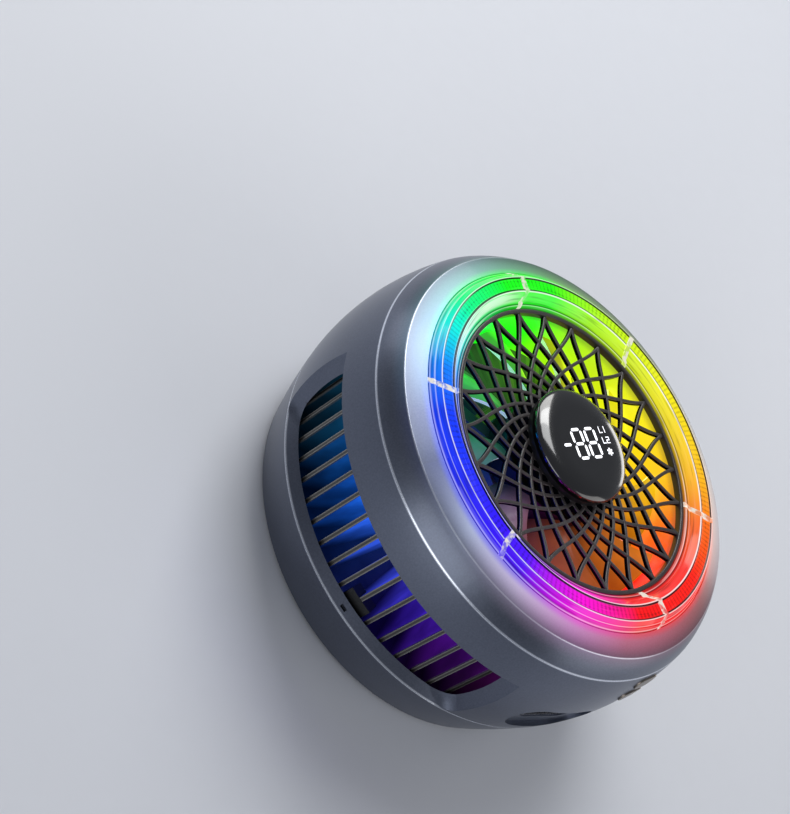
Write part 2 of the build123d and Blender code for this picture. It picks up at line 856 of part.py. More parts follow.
def make_blade():
    """One twisted blade, from inside the hub's wall to past the tip circle."""
    root_distance = hub_radius - hub_wall / 2
    tip_distance = duct_radius
    middle = (rotor_bottom + rotor_top) / 2
    root = facing(0, root_distance, middle) * Rot(0, 0, blade_root_pitch)
    tip = facing(0, tip_distance, middle) * Rot(0, 0, blade_tip_pitch)
    return loft([root * Rectangle(blade_root_chord, blade_thickness),
                 tip * Rectangle(blade_tip_chord, blade_thickness)], ruled=True)


def make_rotor():
    """The hub cup with its blades, trimmed to run inside the duct."""
    rotor = ring(hub_radius, hub_bore, rotor_bottom, rotor_top)
    blade = make_blade()
    tip_radius = duct_radius - tip_gap
    blade &= ring(tip_radius, hub_bore + slip_gap, rotor_bottom, rotor_top)
    for index in range(blade_count):
        rotor += Rot(0, 0, 360 / blade_count * index) * blade
    roof_bottom = rotor_top - hub_roof
    rotor += disc(hub_bore + hub_wall / 2, roof_bottom, rotor_top)
    return rotor - disc(shaft_radius, roof_bottom - overrun, roof_bottom + shaft_seat_depth)


def make_light_board():
    """The ring board for the lights, on the frame's shelf."""
    return ring(lens_outer - slip_gap, duct_outer + 2 * slip_gap, light_board_bottom, light_board_top)


def make_lights():
    """The lights in a circle on their board."""
    circle = (lens_inner + lens_outer) / 2
    return group([box_out(360 / light_count * index, circle - light_side / 2, circle + light_side / 2,
                          light_side, light_board_top, light_board_top + light_height)
                  for index in range(light_count)])


def make_light_guide():
    """The ring that spreads the light, with fine ribs across its top."""
    roof_top = lens_bottom - guide_rib_height
    guide_outer = lens_outer - slip_gap
    guide = ring(guide_outer, lens_inner, light_board_top, lens_bottom)
    guide -= ring(guide_outer - guide_foot_width, lens_inner + guide_foot_width,
                  light_board_top - overrun, roof_top - guide_roof)
    guide -= ring(guide_outer - guide_foot_width, lens_inner + guide_foot_width,
                  roof_top, lens_bottom + overrun)
    near = lens_inner + guide_foot_width / 2
    far = guide_outer - guide_foot_width / 2
    middle = (near + far) / 2
    ribs = []
    for index in range(guide_rib_count):
        rib = Pos(middle, 0, roof_top) * Rectangle(far - near, guide_rib_width)
        ribs.append(extrude(Rot(0, 0, 360 / guide_rib_count * index) * rib, amount=guide_rib_height))
    return guide + ribs


def lens_section(rise):
    """The corners of the lens's half section, raised by a small amount."""
    top = [(lens_inner + across * lens_width, housing_top + up * lens_crest + rise)
           for across, up in lens_profile_shares]
    return [(lens_outer, lens_bottom), (lens_inner, lens_bottom)] + top


def divider_places():
    """Angle of each clear divider in order, and the side that its ends slant to."""
    places = [((middle + sign * divider_half_angle) % 360, sign)
              for middle in divider_middle_angles for sign in (-1, 1)]
    return sorted(places)


def divider_bar(width, sign):
    """A bar about angle zero, radial on the lens's raised middle and slanting off on both slopes."""
    path = [
        (lens_inner - overrun, sign * divider_inner_slant), (plateau_inner, 0), (plateau_outer, 0),
        (lens_outer + overrun, sign * divider_outer_slant),
    ]
    corners = [(x, y - width / 2) for x, y in path] + [(x, y + width / 2) for x, y in reversed(path)]
    face = make_face(Polyline(*corners, close=True))
    return Pos(0, 0, lens_bottom - overrun) * extrude(face, amount=lens_depth + 2 * lens_crest + overrun)


def make_lens_segments():
    """The clear segments of the lens, one between each two dividers."""
    places = divider_places()
    width = divider_width + 2 * slip_gap
    spread = math.degrees(max(divider_inner_slant, divider_outer_slant) / lens_inner)
    segments = []
    for index, (start, start_sign) in enumerate(places):
        end, end_sign = places[(index + 1) % len(places)]
        span = (end - start) % 360
        segment = Rot(0, 0, -spread) * turned(lens_section(0), span + 2 * spread)
        segment -= divider_bar(width, start_sign)
        segment -= Rot(0, 0, span) * divider_bar(width, end_sign)
        segment = max(segment.solids(), key=lambda solid: solid.volume)
        segments.append(Rot(0, 0, start) * segment)
    return segments


def make_dividers():
    """The clear dividers, a little higher than the segments beside them."""
    spread = math.degrees(2 * max(divider_inner_slant, divider_outer_slant) / lens_inner)
    blank = Rot(0, 0, -spread) * turned(lens_section(divider_proud), 2 * spread)
    return group([Rot(0, 0, degrees) * (blank & divider_bar(divider_width, sign))
                  for degrees, sign in divider_places()])


def rib_sweep(radius):
    """How far a rib has swept round, in degrees, when it has come in from the rim to a radius."""
    inward = (grille_rim_inner - radius) / grille_rim_inner
    return rib_lean * inward + rib_curl * inward ** 2


def rib_half_angle(radius):
    """Half a rib's width at a radius, as an angle about the fan's axis."""
    inward = (grille_rim_inner - radius) / grille_rim_inner
    turn_share = math.radians(rib_lean + 2 * rib_curl * inward) * radius / grille_rim_inner
    return math.degrees(rib_width / 2 * math.sqrt(1 + turn_share ** 2) / radius)


def radius_where(rule, target):
    """The radius, from the hub's outside to the rim, where a falling rule meets its target."""
    low, high = grille_hub_outer, grille_rim_inner
    for _ in range(search_steps):
        middle = (low + high) / 2
        if rule(middle) > target:
            low = middle
        else:
            high = middle
    return (low + high) / 2


def grille_gap(level):
    """One gap between the ribs, counted inwards from the rim, as a wire about angle zero."""
    step = 180 / rib_node_count

    def opening(radius):
        return rib_sweep(radius) - rib_half_angle(radius) - step * (level - 1)

    def closing(radius):
        return step * (level + 1) - rib_sweep(radius) - rib_half_angle(radius)

    def side(rule, start, end):
        middle = (start + end) / 2
        return [[(radius, sign * rule(radius)) for radius in (start, middle, end)] for sign in (1, -1)]

    outer_tip = radius_where(lambda radius: rib_sweep(radius) - rib_half_angle(radius), step * (level - 1))
    inner_tip = radius_where(lambda radius: rib_sweep(radius) + rib_half_angle(radius), step * (level + 1))
    waist = radius_where(rib_sweep, step * level)
    arcs = []
    if level == 0:
        arcs += side(closing, grille_rim_inner, inner_tip)
        reach = closing(grille_rim_inner)
        arcs.append([(grille_rim_inner, angle) for angle in (-reach, 0, reach)])
    elif closing(grille_hub_outer) < 0:
        arcs += side(opening, outer_tip, waist)
        arcs += side(closing, waist, inner_tip)
    elif waist > grille_hub_outer + slip_gap:
        arcs += side(opening, outer_tip, waist)
        arcs += side(closing, waist, grille_hub_outer)
        reach = closing(grille_hub_outer)
        arcs.append([(grille_hub_outer, angle) for angle in (-reach, 0, reach)])
    else:
        arcs += side(opening, outer_tip, grille_hub_outer)
        reach = opening(grille_hub_outer)
        arcs.append([(grille_hub_outer, angle) for angle in (-reach, 0, reach)])
    return Wire([ThreePointArc(*[polar(*point) for point in arc]).edge() for arc in arcs])


def make_grille():
    """The rim, the crossing ribs and the ring round the display, dished a little to the middle."""
    step = 180 / rib_node_count
    levels = int(rib_sweep(grille_hub_outer) / step)
    gaps = []
    for level in range(levels + 2):
        reach = rib_sweep(grille_hub_outer) - rib_half_angle(grille_hub_outer)
        if reach < step * (level - 1) + smallest_gap_angle:
            continue
        gap = grille_gap(level)
        offset = step * (level + 1)
        for index in range(rib_node_count):
            gaps.append(gap.rotate(Axis.Z, rib_turn + offset + 2 * step * index))
    rim = Wire([Edge.make_circle(grille_rim_outer + overrun)])
    bore = Wire([Edge.make_circle(grille_hub_inner - overrun)])
    sheet = Solid.extrude(Face(rim, [bore] + gaps), Vector(0, 0, housing_top))
    section = [
        (grille_rim_outer, grille_bottom), (grille_rim_outer, grille_top),
        (grille_rim_inner + rim_ledge, grille_top), (grille_rim_inner + rim_ledge, web_top_rim),
        (grille_hub_outer, web_top_hub), (grille_hub_inner, web_top_hub),
        (grille_hub_inner, web_bottom_hub), (grille_hub_outer, web_bottom_hub),
        (grille_hub_outer, web_top_hub - rib_depth),
        (duct_radius - slip_gap, web_top_rim - rib_depth), (duct_radius - slip_gap, grille_bottom),
    ]
    return (turned(section) & sheet).solid()


def make_display_cup():
    """The cup that carries the display board, plugged into the grille's middle."""
    cup = disc(cup_radius, cup_bottom, cup_top)
    skirt_outer = grille_hub_inner - slip_gap
    return cup + ring(skirt_outer, skirt_outer - cup_skirt_wall, cup_bottom - cup_skirt_depth, cup_top)


def bar(length, width, across, up, degrees=0.0):
    """A pointed bar of a lit number, as a face."""
    half = length / 2
    shoulder = half - width / 2
    points = [(-half, 0), (-shoulder, width / 2), (shoulder, width / 2), (half, 0),
              (shoulder, -width / 2), (-shoulder, -width / 2)]
    return Pos(across, up) * Rot(0, 0, degrees) * make_face(Polyline(*points, close=True))


def number_bars(centre):
    """The seven bars of one lit number."""
    length = digit_width - digit_stroke - digit_segment_gap
    rise = (digit_height - digit_stroke) / 2
    upright = rise - digit_segment_gap
    side = (digit_width - digit_stroke) / 2
    bars = [bar(length, digit_stroke, centre, digit_centre_up + up) for up in (-rise, 0, rise)]
    for across in (-side, side):
        for up in (-rise / 2, rise / 2):
            bars.append(bar(upright, digit_stroke, centre + across, digit_centre_up + up, 90))
    return bars


def letter_strokes(strokes, left, middle):
    """A small letter or number from straight strokes, each in shares of its width and height."""
    shape = Sketch()
    for start, end in strokes:
        x0 = left + start[0] * letter_width
        x1 = left + end[0] * letter_width
        y0 = middle + (start[1] - 0.5) * letter_height
        y1 = middle + (end[1] - 0.5) * letter_height
        length = math.hypot(x1 - x0, y1 - y0) + letter_stroke
        degrees = math.degrees(math.atan2(y1 - y0, x1 - x0))
        stroke = Rot(0, 0, degrees) * Rectangle(length, letter_stroke)
        shape += Pos((x0 + x1) / 2, (y0 + y1) / 2) * stroke
    return shape


def display_mark_faces():
    """The two small level marks and the snowflake beside the numbers."""
    ell_shares = (((0, 1), (0, 0)), ((0, 0), (1, 0)))
    one_shares = (((0.5, 1), (0.5, 0)),)
    two_shares = (((0, 1), (1, 1)), ((1, 1), (1, 0.5)), ((1, 0.5), (0, 0.5)), ((0, 0.5), (0, 0)),
                  ((0, 0), (1, 0)))
    faces = []
    for row, number_shares in zip(letter_rows_up, (one_shares, two_shares)):
        faces.append(letter_strokes(ell_shares, letter_left, row))
        faces.append(letter_strokes(number_shares, letter_left + letter_pitch, row))
    flake = Sketch()
    for degrees in (30, 90, 150):
        flake += Rot(0, 0, degrees) * Rectangle(snowflake_size, snowflake_stroke)
    faces.append(Pos(snowflake_across, snowflake_up) * flake)
    return faces


def number_faces():
    """The minus sign and the bars of both numbers."""
    faces = [bar(minus_length, digit_stroke, minus_centre_across, digit_centre_up)]
    for centre in (first_digit_across, second_digit_across):
        faces += number_bars(centre)
    return faces


def lit_pieces(faces):
    """Light pieces that stand on the display board and end in the dome's top face."""
    height = dome_top - display_board_top
    return group([Pos(0, 0, display_board_top) * extrude(face, amount=height) for face in faces])


def make_dome():
    """The glossy cap over the display, with a close-fitting opening for each lit mark."""
    dome = disc(dome_radius, cup_top, dome_top)
    dome = fillet(dome.edges().group_by(Axis.Z)[-1], dome_rounding)
    dome -= disc(display_board_radius + loose_gap, cup_top - overrun, dome_top - dome_wall)
    for face in number_faces() + display_mark_faces():
        wider = offset(face, amount=slip_gap / 2)
        dome -= Pos(0, 0, display_board_top) * extrude(wider, amount=dome_height)
    return dome


os.makedirs("parts", exist_ok=True)

save("contact_pad", disc(pad_radius, 0, plate_bottom))
save("grip_ring", ring(grip_outer, grip_inner, 0, cover_bottom))
save("rear_cover", make_rear_cover())
save("rear_screws", make_screws(large_shank, large_head, large_head_height, cover_bottom,
                                sink_bottom + rear_screw_bite, rear_screw_circle, rear_screw_angles()))
save("magnets", make_magnets())
save("magnet_yoke", make_magnet_yoke())
save("cold_plate", make_cold_plate())
save("cold_ceramic", module_slab(peltier_bottom, pellet_bottom, module_side))
save("thermo_pellets", make_pellets())
save("hot_ceramic", module_slab(hot_ceramic_bottom, sink_bottom, module_side))
save("foam_gasket", make_gasket())
save("heat_sink", make_heat_sink())
save("sink_screws", make_screws(large_shank, large_head, large_head_height, sink_bottom - large_head_height,
                                fin_bottom + sink_screw_bite, boss_circle, boss_angles()))
save("vent_block", make_vent_block())
save("housing", make_housing())
save("control_board", make_control_board())
save("board_standoffs", make_standoffs())
save("board_screws", make_board_screws())
save("control_chip", make_chip())
save("socket_shell", make_socket_shell())
save("socket_tongue", make_socket_tongue())
save("switch_board", make_switch_board())
save("switches", make_switches())
save("button_lower", make_button(button_heights[0]))
save("button_upper", make_button(button_heights[1]))
save("fan_frame", make_fan_frame())
save("frame_screws", make_screws(small_shank, small_head, small_head_height, shelf_bottom - small_head_height,
                                 shelf_top + frame_screw_bite, ear_circle, ear_angles))
save("motor_board", make_motor_board())
save("bearing", ring(bearing_tube_bore, shaft_radius + bearing_gap, motor_base_top,
                     bearing_tube_top - loose_gap))
save("stator_core", make_stator())
save("stator_windings", make_windings())
save("shaft", disc(shaft_radius, motor_base_top + shaft_tip_gap, rotor_top - hub_roof + shaft_seat_depth))
save("rotor_magnet", ring(rotor_yoke_inner, rotor_magnet_inner, rotor_bottom + slip_gap,
                          rotor_top - hub_roof - slip_gap))
save("rotor_yoke", ring(hub_bore, rotor_yoke_inner, rotor_bottom, rotor_top - hub_roof))
save("fan_rotor", make_rotor())
save("light_board", make_light_board())
save("lights", make_lights())
save("light_guide", make_light_guide())
for number, segment in enumerate(make_lens_segments(), start=1):
    save("lens_segment_" + str(number), segment)
save("lens_dividers", make_dividers())
save("grille", make_grille())
save("display_cup", make_display_cup())
save("display_board", disc(display_board_radius, cup_top, display_board_top))
save("display_numbers", lit_pieces(number_faces()))
save("display_marks", lit_pieces(display_mark_faces()))
save("dome", make_dome())
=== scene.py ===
"""The looks of a phone cooling fan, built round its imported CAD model.

Laid out as an add-on and run as a script. Metres, in the frame of the CAD: Z runs out of the front
along the fan's axis, zero is the face that rests on the phone, plus Y is the display's top. Sizes in
capitals are in millimetres and angles in degrees about the axis, where nothing else is said.
"""

import math

import bmesh
import bpy
import numpy as np
from bpy.props import FloatProperty, FloatVectorProperty, IntProperty, PointerProperty
from mathutils import Matrix, Vector


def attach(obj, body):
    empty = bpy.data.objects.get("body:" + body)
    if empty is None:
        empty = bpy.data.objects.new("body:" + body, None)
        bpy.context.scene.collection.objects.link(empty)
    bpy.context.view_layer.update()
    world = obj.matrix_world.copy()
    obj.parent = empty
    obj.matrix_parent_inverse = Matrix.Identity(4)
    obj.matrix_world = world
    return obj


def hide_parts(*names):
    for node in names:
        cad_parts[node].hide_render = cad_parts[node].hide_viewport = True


bl_info = {
    "name": "Phone cooling fan",
    "version": (1, 0, 0),
    "blender": (4, 5, 0),
    "location": "3D View > Sidebar > Cooler",
    "description": "Builds the looks of a round phone cooler over its CAD model",
    "category": "Object",
}

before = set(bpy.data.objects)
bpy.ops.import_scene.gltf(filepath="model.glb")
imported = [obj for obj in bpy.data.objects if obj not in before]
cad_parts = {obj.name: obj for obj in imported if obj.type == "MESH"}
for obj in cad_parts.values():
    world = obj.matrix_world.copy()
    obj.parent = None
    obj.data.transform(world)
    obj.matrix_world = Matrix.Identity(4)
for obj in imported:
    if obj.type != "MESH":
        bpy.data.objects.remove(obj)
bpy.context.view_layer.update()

MM = 0.001
FULL_TURN = 2 * math.pi
BLACK = (0.0, 0.0, 0.0)
WHITE = (1.0, 1.0, 1.0)

# Angles about the axis and colours of 0 to 255 as seen: of the light ring, of its light painted on the
# housing's shoulder, whose pale stops are painted highlights, of the light painted between the heat
# sink's fins, and of the light painted on the blades
HUES = {
    "ring hue": (
        (-180, (20, 50, 255)), (-156, (50, 10, 255)), (-143, (80, 5, 250)), (-120, (250, 0, 220)),
        (-95, (250, 5, 15)), (-58, (255, 30, 5)), (-34, (250, 110, 5)), (-15, (255, 190, 10)),
        (15, (245, 235, 10)), (50, (185, 250, 5)), (75, (30, 255, 5)), (98, (5, 255, 15)),
        (120, (5, 255, 140)), (133, (5, 245, 225)), (150, (5, 130, 255)), (166, (10, 60, 255)),
        (180, (20, 50, 255)),
    ),
    "spill hue": (
        (-180, (40, 50, 120)), (-160, (190, 200, 235)), (-140, (220, 200, 240)), (-120, (225, 150, 215)),
        (-100, (205, 100, 130)), (-60, (165, 70, 55)), (-20, (170, 120, 60)), (20, (160, 160, 80)),
        (70, (100, 170, 80)), (120, (100, 190, 170)), (145, (110, 175, 205)), (166, (45, 60, 130)),
        (180, (40, 50, 110)),
    ),
    "vent hue": (
        (-180, (30, 105, 240)), (-168, (60, 100, 255)), (-150, (70, 40, 220)), (-136, (75, 15, 130)),
        (-120, (60, 10, 70)), (-50, (105, 30, 10)), (0, (190, 135, 15)), (40, (60, 120, 20)),
        (120, (10, 35, 35)), (155, (10, 60, 90)), (170, (15, 80, 170)), (180, (30, 105, 240)),
    ),
    "blade hue": (
        (-180, (70, 115, 120)), (-166, (60, 60, 85)), (-150, (120, 90, 120)), (-132, (130, 60, 40)),
        (-90, (180, 85, 10)), (-50, (230, 125, 5)), (0, (245, 215, 5)), (45, (220, 230, 5)),
        (74, (130, 140, 10)), (94, (65, 190, 40)), (130, (55, 185, 75)), (166, (45, 120, 100)),
        (180, (70, 115, 120)),
    ),
}

# Across the clear ring: radius, brightness, and how far the colour turns to white. The pale stops at
# the steps' edges are painted highlights, and the near-black ones painted dark refractions of the gaps
RING_BANDS = (
    (20.7, 0.3, 0.0), (20.9, 0.6, 0.02), (21.02, 0.95, 0.4), (21.12, 0.12, 0.0), (21.35, 0.8, 0.01),
    (22.0, 0.95, 0.04), (22.44, 1.0, 0.02), (22.5, 1.0, 0.75), (22.62, 0.95, 0.65), (22.66, 0.03, 0.0),
    (22.86, 0.05, 0.0), (22.92, 1.0, 0.0), (24.42, 1.0, 0.0), (24.47, 0.05, 0.0), (24.62, 0.06, 0.0),
    (24.66, 1.0, 0.6), (24.74, 1.0, 0.65), (24.8, 0.9, 0.01), (25.24, 0.9, 0.0), (25.3, 1.0, 0.4),
    (25.38, 0.9, 0.01), (25.66, 0.75, 0.0), (25.76, 1.0, 0.4), (25.84, 0.5, 0.02), (25.95, 0.3, 0.0),
)

# Radii between which the ring's ribs and its painted sheen begin and end, and where the ribs are
# weaker. The sheen is a painted highlight on the inner slope, round one angle
RIBS_BEGIN = (22.85, 22.95)
RIBS_END = (24.45, 24.35)
RIBS_WEAKER = (23.0, 23.5)
RIBS_STRENGTH = 0.24
SHEEN_BEGINS = (21.2, 21.7)
SHEEN_ENDS = (22.5, 22.3)
SHEEN_STRENGTH = 0.62
SHEEN_ANGLE = 118.0
SPARK_STRENGTH = 0.06

# How fast the ring's streaks change along it, over a radian, and across it, over a millimetre
STREAKS_ALONG = 2.2
STREAKS_ACROSS = 2.4

# Heights and radii between which the light changes: on the housing's shoulder, in the light guide, at
# the duct's top and between the fins
SPILL_HEIGHTS = (28.6, 29.8)
SPILL_REACH = 30.4
GUIDE_HEIGHTS = (30.16, 30.38)
DUCT_FADE = 29.4
VENT_HEIGHTS = (6.5, 21.0)
VENT_RADII = (17.0, 26.0)

# Sizes that the CAD model has
HOUSING_TOP = 31.8
LENS_INNER = 20.7
LENS_OUTER = 25.95
PLATEAU_INNER = 22.59
PLATEAU_OUTER = 24.74
MOUTH_RADIUS = 26.0
DUCT_RADIUS = 20.0
DUCT_TOP = 30.6
FIN_COUNT = 62
FIN_TURN = 3.85
FIN_OUTER = 29.18
HUB_RADIUS = 8.97
ROTOR_BOTTOM = 23.9
ROTOR_TOP = 27.9

# Painted highlight lines along the housing's creases, lighter and smoother: radius, height, width of the
# line and its strength
CREASES = ((30.76, 27.52, 0.26, 1.0), (28.86, 30.68, 0.16, 0.9), (31.1, 9.02, 0.26, 1.0))


def to_linear(colour):
    """A colour of 0 to 255 steps as the numbers that Blender's sockets hold."""
    share = np.asarray(colour, float) / 255
    low = share / 12.92
    high = ((share + 0.055) / 1.055) ** 2.4
    return tuple(np.where(share <= 0.04045, low, high))


# Shader helpers. A value is a socket, a number or a colour


def node(tree, kind, **settings):
    """A node with its settings."""
    made = tree.nodes.new(kind)
    for key, value in settings.items():
        setattr(made, key, value)
    return made


def feed(tree, value, socket):
    """Links a socket to another one, or sets it."""
    if isinstance(value, bpy.types.NodeSocket):
        tree.links.new(value, socket)
    elif socket.type == "RGBA":
        socket.default_value = (*value, 1)
    else:
        socket.default_value = value


def arithmetic(tree, operation, *values, clamp=False):
    """A Math node."""
    made = node(tree, "ShaderNodeMath", operation=operation, use_clamp=clamp)
    for value, socket in zip(values, made.inputs):
        feed(tree, value, socket)
    return made.outputs[0]


def times(tree, first, *others):
    """A product of values."""
    for other in others:
        first = arithmetic(tree, "MULTIPLY", first, other)
    return first


def mixed(tree, share, first, second):
    """A mix of two colours."""
    made = node(tree, "ShaderNodeMix", data_type="RGBA")
    for index, value in ((0, share), (6, first), (7, second)):
        feed(tree, value, made.inputs[index])
    return made.outputs[2]


def between(tree, value, start, end, low=0.0, high=1.0, kind="SMOOTHSTEP"):
    """A value turned from low at start to high at end, smoothly unless another kind is asked for."""
    made = node(tree, "ShaderNodeMapRange", interpolation_type=kind)
    feed(tree, value, made.inputs["Value"])
    for label, limit in (("From Min", start), ("From Max", end), ("To Min", low), ("To Max", high)):
        made.inputs[label].default_value = limit
    return made.outputs["Result"]


def scaled(tree, colour, gain):
    """A colour made brighter or darker by a gain."""
    made = node(tree, "ShaderNodeVectorMath", operation="SCALE")
    feed(tree, colour, made.inputs[0])
    feed(tree, gain, made.inputs["Scale"])
    return made.outputs[0]


def noise(tree, place, scale, detail):
    """A noise over a place."""
    made = node(tree, "ShaderNodeTexNoise")
    for label, value in (("Vector", place), ("Scale", scale), ("Detail", detail)):
        feed(tree, value, made.inputs[label])
    return made.outputs[0]


def ramp(tree, share, stops):
    """A colour by a share between zero and one, from stops of places and colours."""
    made = node(tree, "ShaderNodeValToRGB")
    feed(tree, share, made.inputs[0])
    elements = made.color_ramp.elements
    for place, colour in stops[1:-1]:
        elements.new(place).color = (*colour, 1)
    elements[0].color = (*stops[0][1], 1)
    elements[-1].color = (*stops[-1][1], 1)
    return made.outputs["Color"]


# Node groups, each built once


def new_group(name, inputs, outputs):
    """An empty node group. An input is a name, a socket kind and a default, or none."""
    tree = bpy.data.node_groups.new(name, "ShaderNodeTree")
    for label, kind, default in inputs:
        socket = tree.interface.new_socket(name=label, in_out="INPUT", socket_type="NodeSocket" + kind)
        if default is not None:
            socket.default_value = default
    for label, kind in outputs:
        tree.interface.new_socket(name=label, in_out="OUTPUT", socket_type="NodeSocket" + kind)
    return tree, node(tree, "NodeGroupInput"), node(tree, "NodeGroupOutput")


def use_group(tree, name, **values):
    """Places a node group, fed with values by input name, and returns its outputs."""
    made = node(tree, "ShaderNodeGroup", node_tree=group(name))
    for label, value in values.items():
        feed(tree, value, made.inputs[label.replace("_", " ")])
    return made.outputs


def axis_group():
    """A place's distance from the fan's axis and height in millimetres, and its angle in radians."""
    tree, start, end = new_group("from axis", [("Position", "Vector", None)],
                                 [("Radius", "Float"), ("Height", "Float"), ("Angle", "Float")])
    split = node(tree, "ShaderNodeSeparateXYZ")
    feed(tree, start.outputs["Position"], split.inputs[0])
    x, y, z = split.outputs
    radius = arithmetic(tree, "SQRT", arithmetic(tree, "ADD", times(tree, x, x), times(tree, y, y)))
    feed(tree, arithmetic(tree, "DIVIDE", radius, MM), end.inputs["Radius"])
    feed(tree, arithmetic(tree, "DIVIDE", z, MM), end.inputs["Height"])
    feed(tree, arithmetic(tree, "ARCTAN2", y, x), end.inputs["Angle"])
    return tree


def hue_group(name):
    """A colour by the angle about the fan's axis, from the table of that name."""
    tree, start, end = new_group(name, [("Position", "Vector", None)], [("Color", "Color")])
    angle = use_group(tree, "axis", Position=start.outputs["Position"])["Angle"]
    share = between(tree, angle, -math.pi, math.pi, kind="LINEAR")
    stops = [((degrees + 180) / 360, to_linear(colour)) for degrees, colour in HUES[name]]
    feed(tree, ramp(tree, share, stops), end.inputs["Color"])
    return tree


def grain_group():
    """Grain, patches of wear and roughness: two noises over the place, one fine and one broad."""
    tree, start, end = new_group(
        "surface grain",
        [("Position", "Vector", None), ("Colour", "Color", None), ("Shade", "Float", 0.1),
         ("Grain", "Float", 6000.0), ("Patch", "Float", 90.0), ("Roughness", "Float", 0.4),
         ("Spread", "Float", 0.1)],
        [("Color", "Color"), ("Roughness", "Float"), ("Height", "Float"), ("Patches", "Float")],
    )
    given = start.outputs
    fine = noise(tree, given["Position"], given["Grain"], 2.0)
    broad = noise(tree, given["Position"], given["Patch"], 4.0)
    both = arithmetic(tree, "ADD", times(tree, fine, 0.55), times(tree, broad, 0.45))
    swing = arithmetic(tree, "SUBTRACT", times(tree, both, 2.0), 1.0)
    gain = arithmetic(tree, "ADD", times(tree, swing, given["Shade"]), 1.0)
    rough = arithmetic(tree, "ADD", times(tree, swing, given["Spread"]), given["Roughness"], clamp=True)
    feed(tree, scaled(tree, given["Colour"], gain), end.inputs["Color"])
    feed(tree, rough, end.inputs["Roughness"])
    feed(tree, fine, end.inputs["Height"])
    feed(tree, broad, end.inputs["Patches"])
    return tree


def crease_group():
    """A line round the axis: one on it, falling to zero at a width from its radius and height."""
    tree, start, end = new_group(
        "crease line",
        [("Radius", "Float", 0.0), ("Height", "Float", 0.0), ("Line Radius", "Float", 30.0),
         ("Line Height", "Float", 27.0), ("Width", "Float", 0.2)],
        [("Mask", "Float")],
    )
    given = start.outputs
    across = arithmetic(tree, "SUBTRACT", given["Radius"], given["Line Radius"])
    along = arithmetic(tree, "SUBTRACT", given["Height"], given["Line Height"])
    square = arithmetic(tree, "ADD", times(tree, across, across), times(tree, along, along))
    share = arithmetic(tree, "DIVIDE", arithmetic(tree, "SQRT", square), given["Width"])
    mask = arithmetic(tree, "SUBTRACT", 1.0, share, clamp=True)
    feed(tree, between(tree, mask, 0.0, 1.0), end.inputs["Mask"])
    return tree


def ring_bands_group():
    """Brightness and paleness of the light ring across its width, from a ramp over the radius, with
    long streaks: a noise that is stretched along the ring. Ribs are a sine wave over the angle, and a
    painted highlight, the sheen, lies on the inner slope round one angle."""
    tree, start, end = new_group("ring bands", [("Position", "Vector", None), ("Ribs", "Float", 204.0)],
                                 [("Bright", "Float"), ("Pale", "Float")])
    axis = use_group(tree, "axis", Position=start.outputs["Position"])
    radius, angle = axis["Radius"], axis["Angle"]
    width = LENS_OUTER - LENS_INNER
    stops = [((place - LENS_INNER) / width, (bright, pale, 0)) for place, bright, pale in RING_BANDS]
    split = node(tree, "ShaderNodeSeparateColor")
    share = between(tree, radius, LENS_INNER, LENS_OUTER, kind="LINEAR")
    feed(tree, ramp(tree, share, stops), split.inputs[0])
    along = node(tree, "ShaderNodeCombineXYZ")
    feed(tree, times(tree, angle, STREAKS_ALONG), along.inputs["X"])
    feed(tree, times(tree, radius, STREAKS_ACROSS), along.inputs["Y"])
    streak = noise(tree, along.outputs[0], 1.6, 3.0)
    spark = between(tree, streak, 0.58, 0.74)
    shade = between(tree, streak, 0.28, 0.5, 0.62, 1.0)
    wave = arithmetic(tree, "SINE", times(tree, angle, start.outputs["Ribs"]))
    ribs = times(tree, wave, RIBS_STRENGTH,
                 times(tree, between(tree, radius, *RIBS_WEAKER, 0.6, 1.0),
                       between(tree, radius, *RIBS_END), between(tree, radius, *RIBS_BEGIN)))
    # Painted sheen: a pale highlight on the inner slope, round one angle
    turned = arithmetic(tree, "COSINE", arithmetic(tree, "SUBTRACT", angle, math.radians(SHEEN_ANGLE)))
    painted_sheen = times(tree, between(tree, turned, 0.84, 0.99),
                  times(tree, between(tree, radius, *SHEEN_BEGINS), between(tree, radius, *SHEEN_ENDS)))
    pale = arithmetic(tree, "ADD", split.outputs[1], times(tree, spark, SPARK_STRENGTH), clamp=True)
    pale = arithmetic(tree, "MAXIMUM", pale, times(tree, painted_sheen, SHEEN_STRENGTH))
    bright = times(tree, split.outputs[0], arithmetic(tree, "ADD", shade, ribs))
    feed(tree, bright, end.inputs["Bright"])
    feed(tree, pale, end.inputs["Pale"])
    return tree


def vent_glow_group():
    """The light between the fins: a colour by the angle, brightest at the front and dark at the foot."""
    tree, start, end = new_group("vent glow", [("Position", "Vector", None)], [("Color", "Color")])
    axis = use_group(tree, "axis", Position=start.outputs["Position"])
    colour = use_group(tree, "vent hue", Position=start.outputs["Position"])["Color"]
    amount = times(tree, between(tree, axis["Height"], *VENT_HEIGHTS),
                   between(tree, axis["Radius"], FIN_OUTER - 0.02, FIN_OUTER - 0.3),
                   between(tree, axis["Radius"], *VENT_RADII, 1.25, 0.75))
    feed(tree, dimmed(tree, amount, colour), end.inputs["Color"])
    return tree


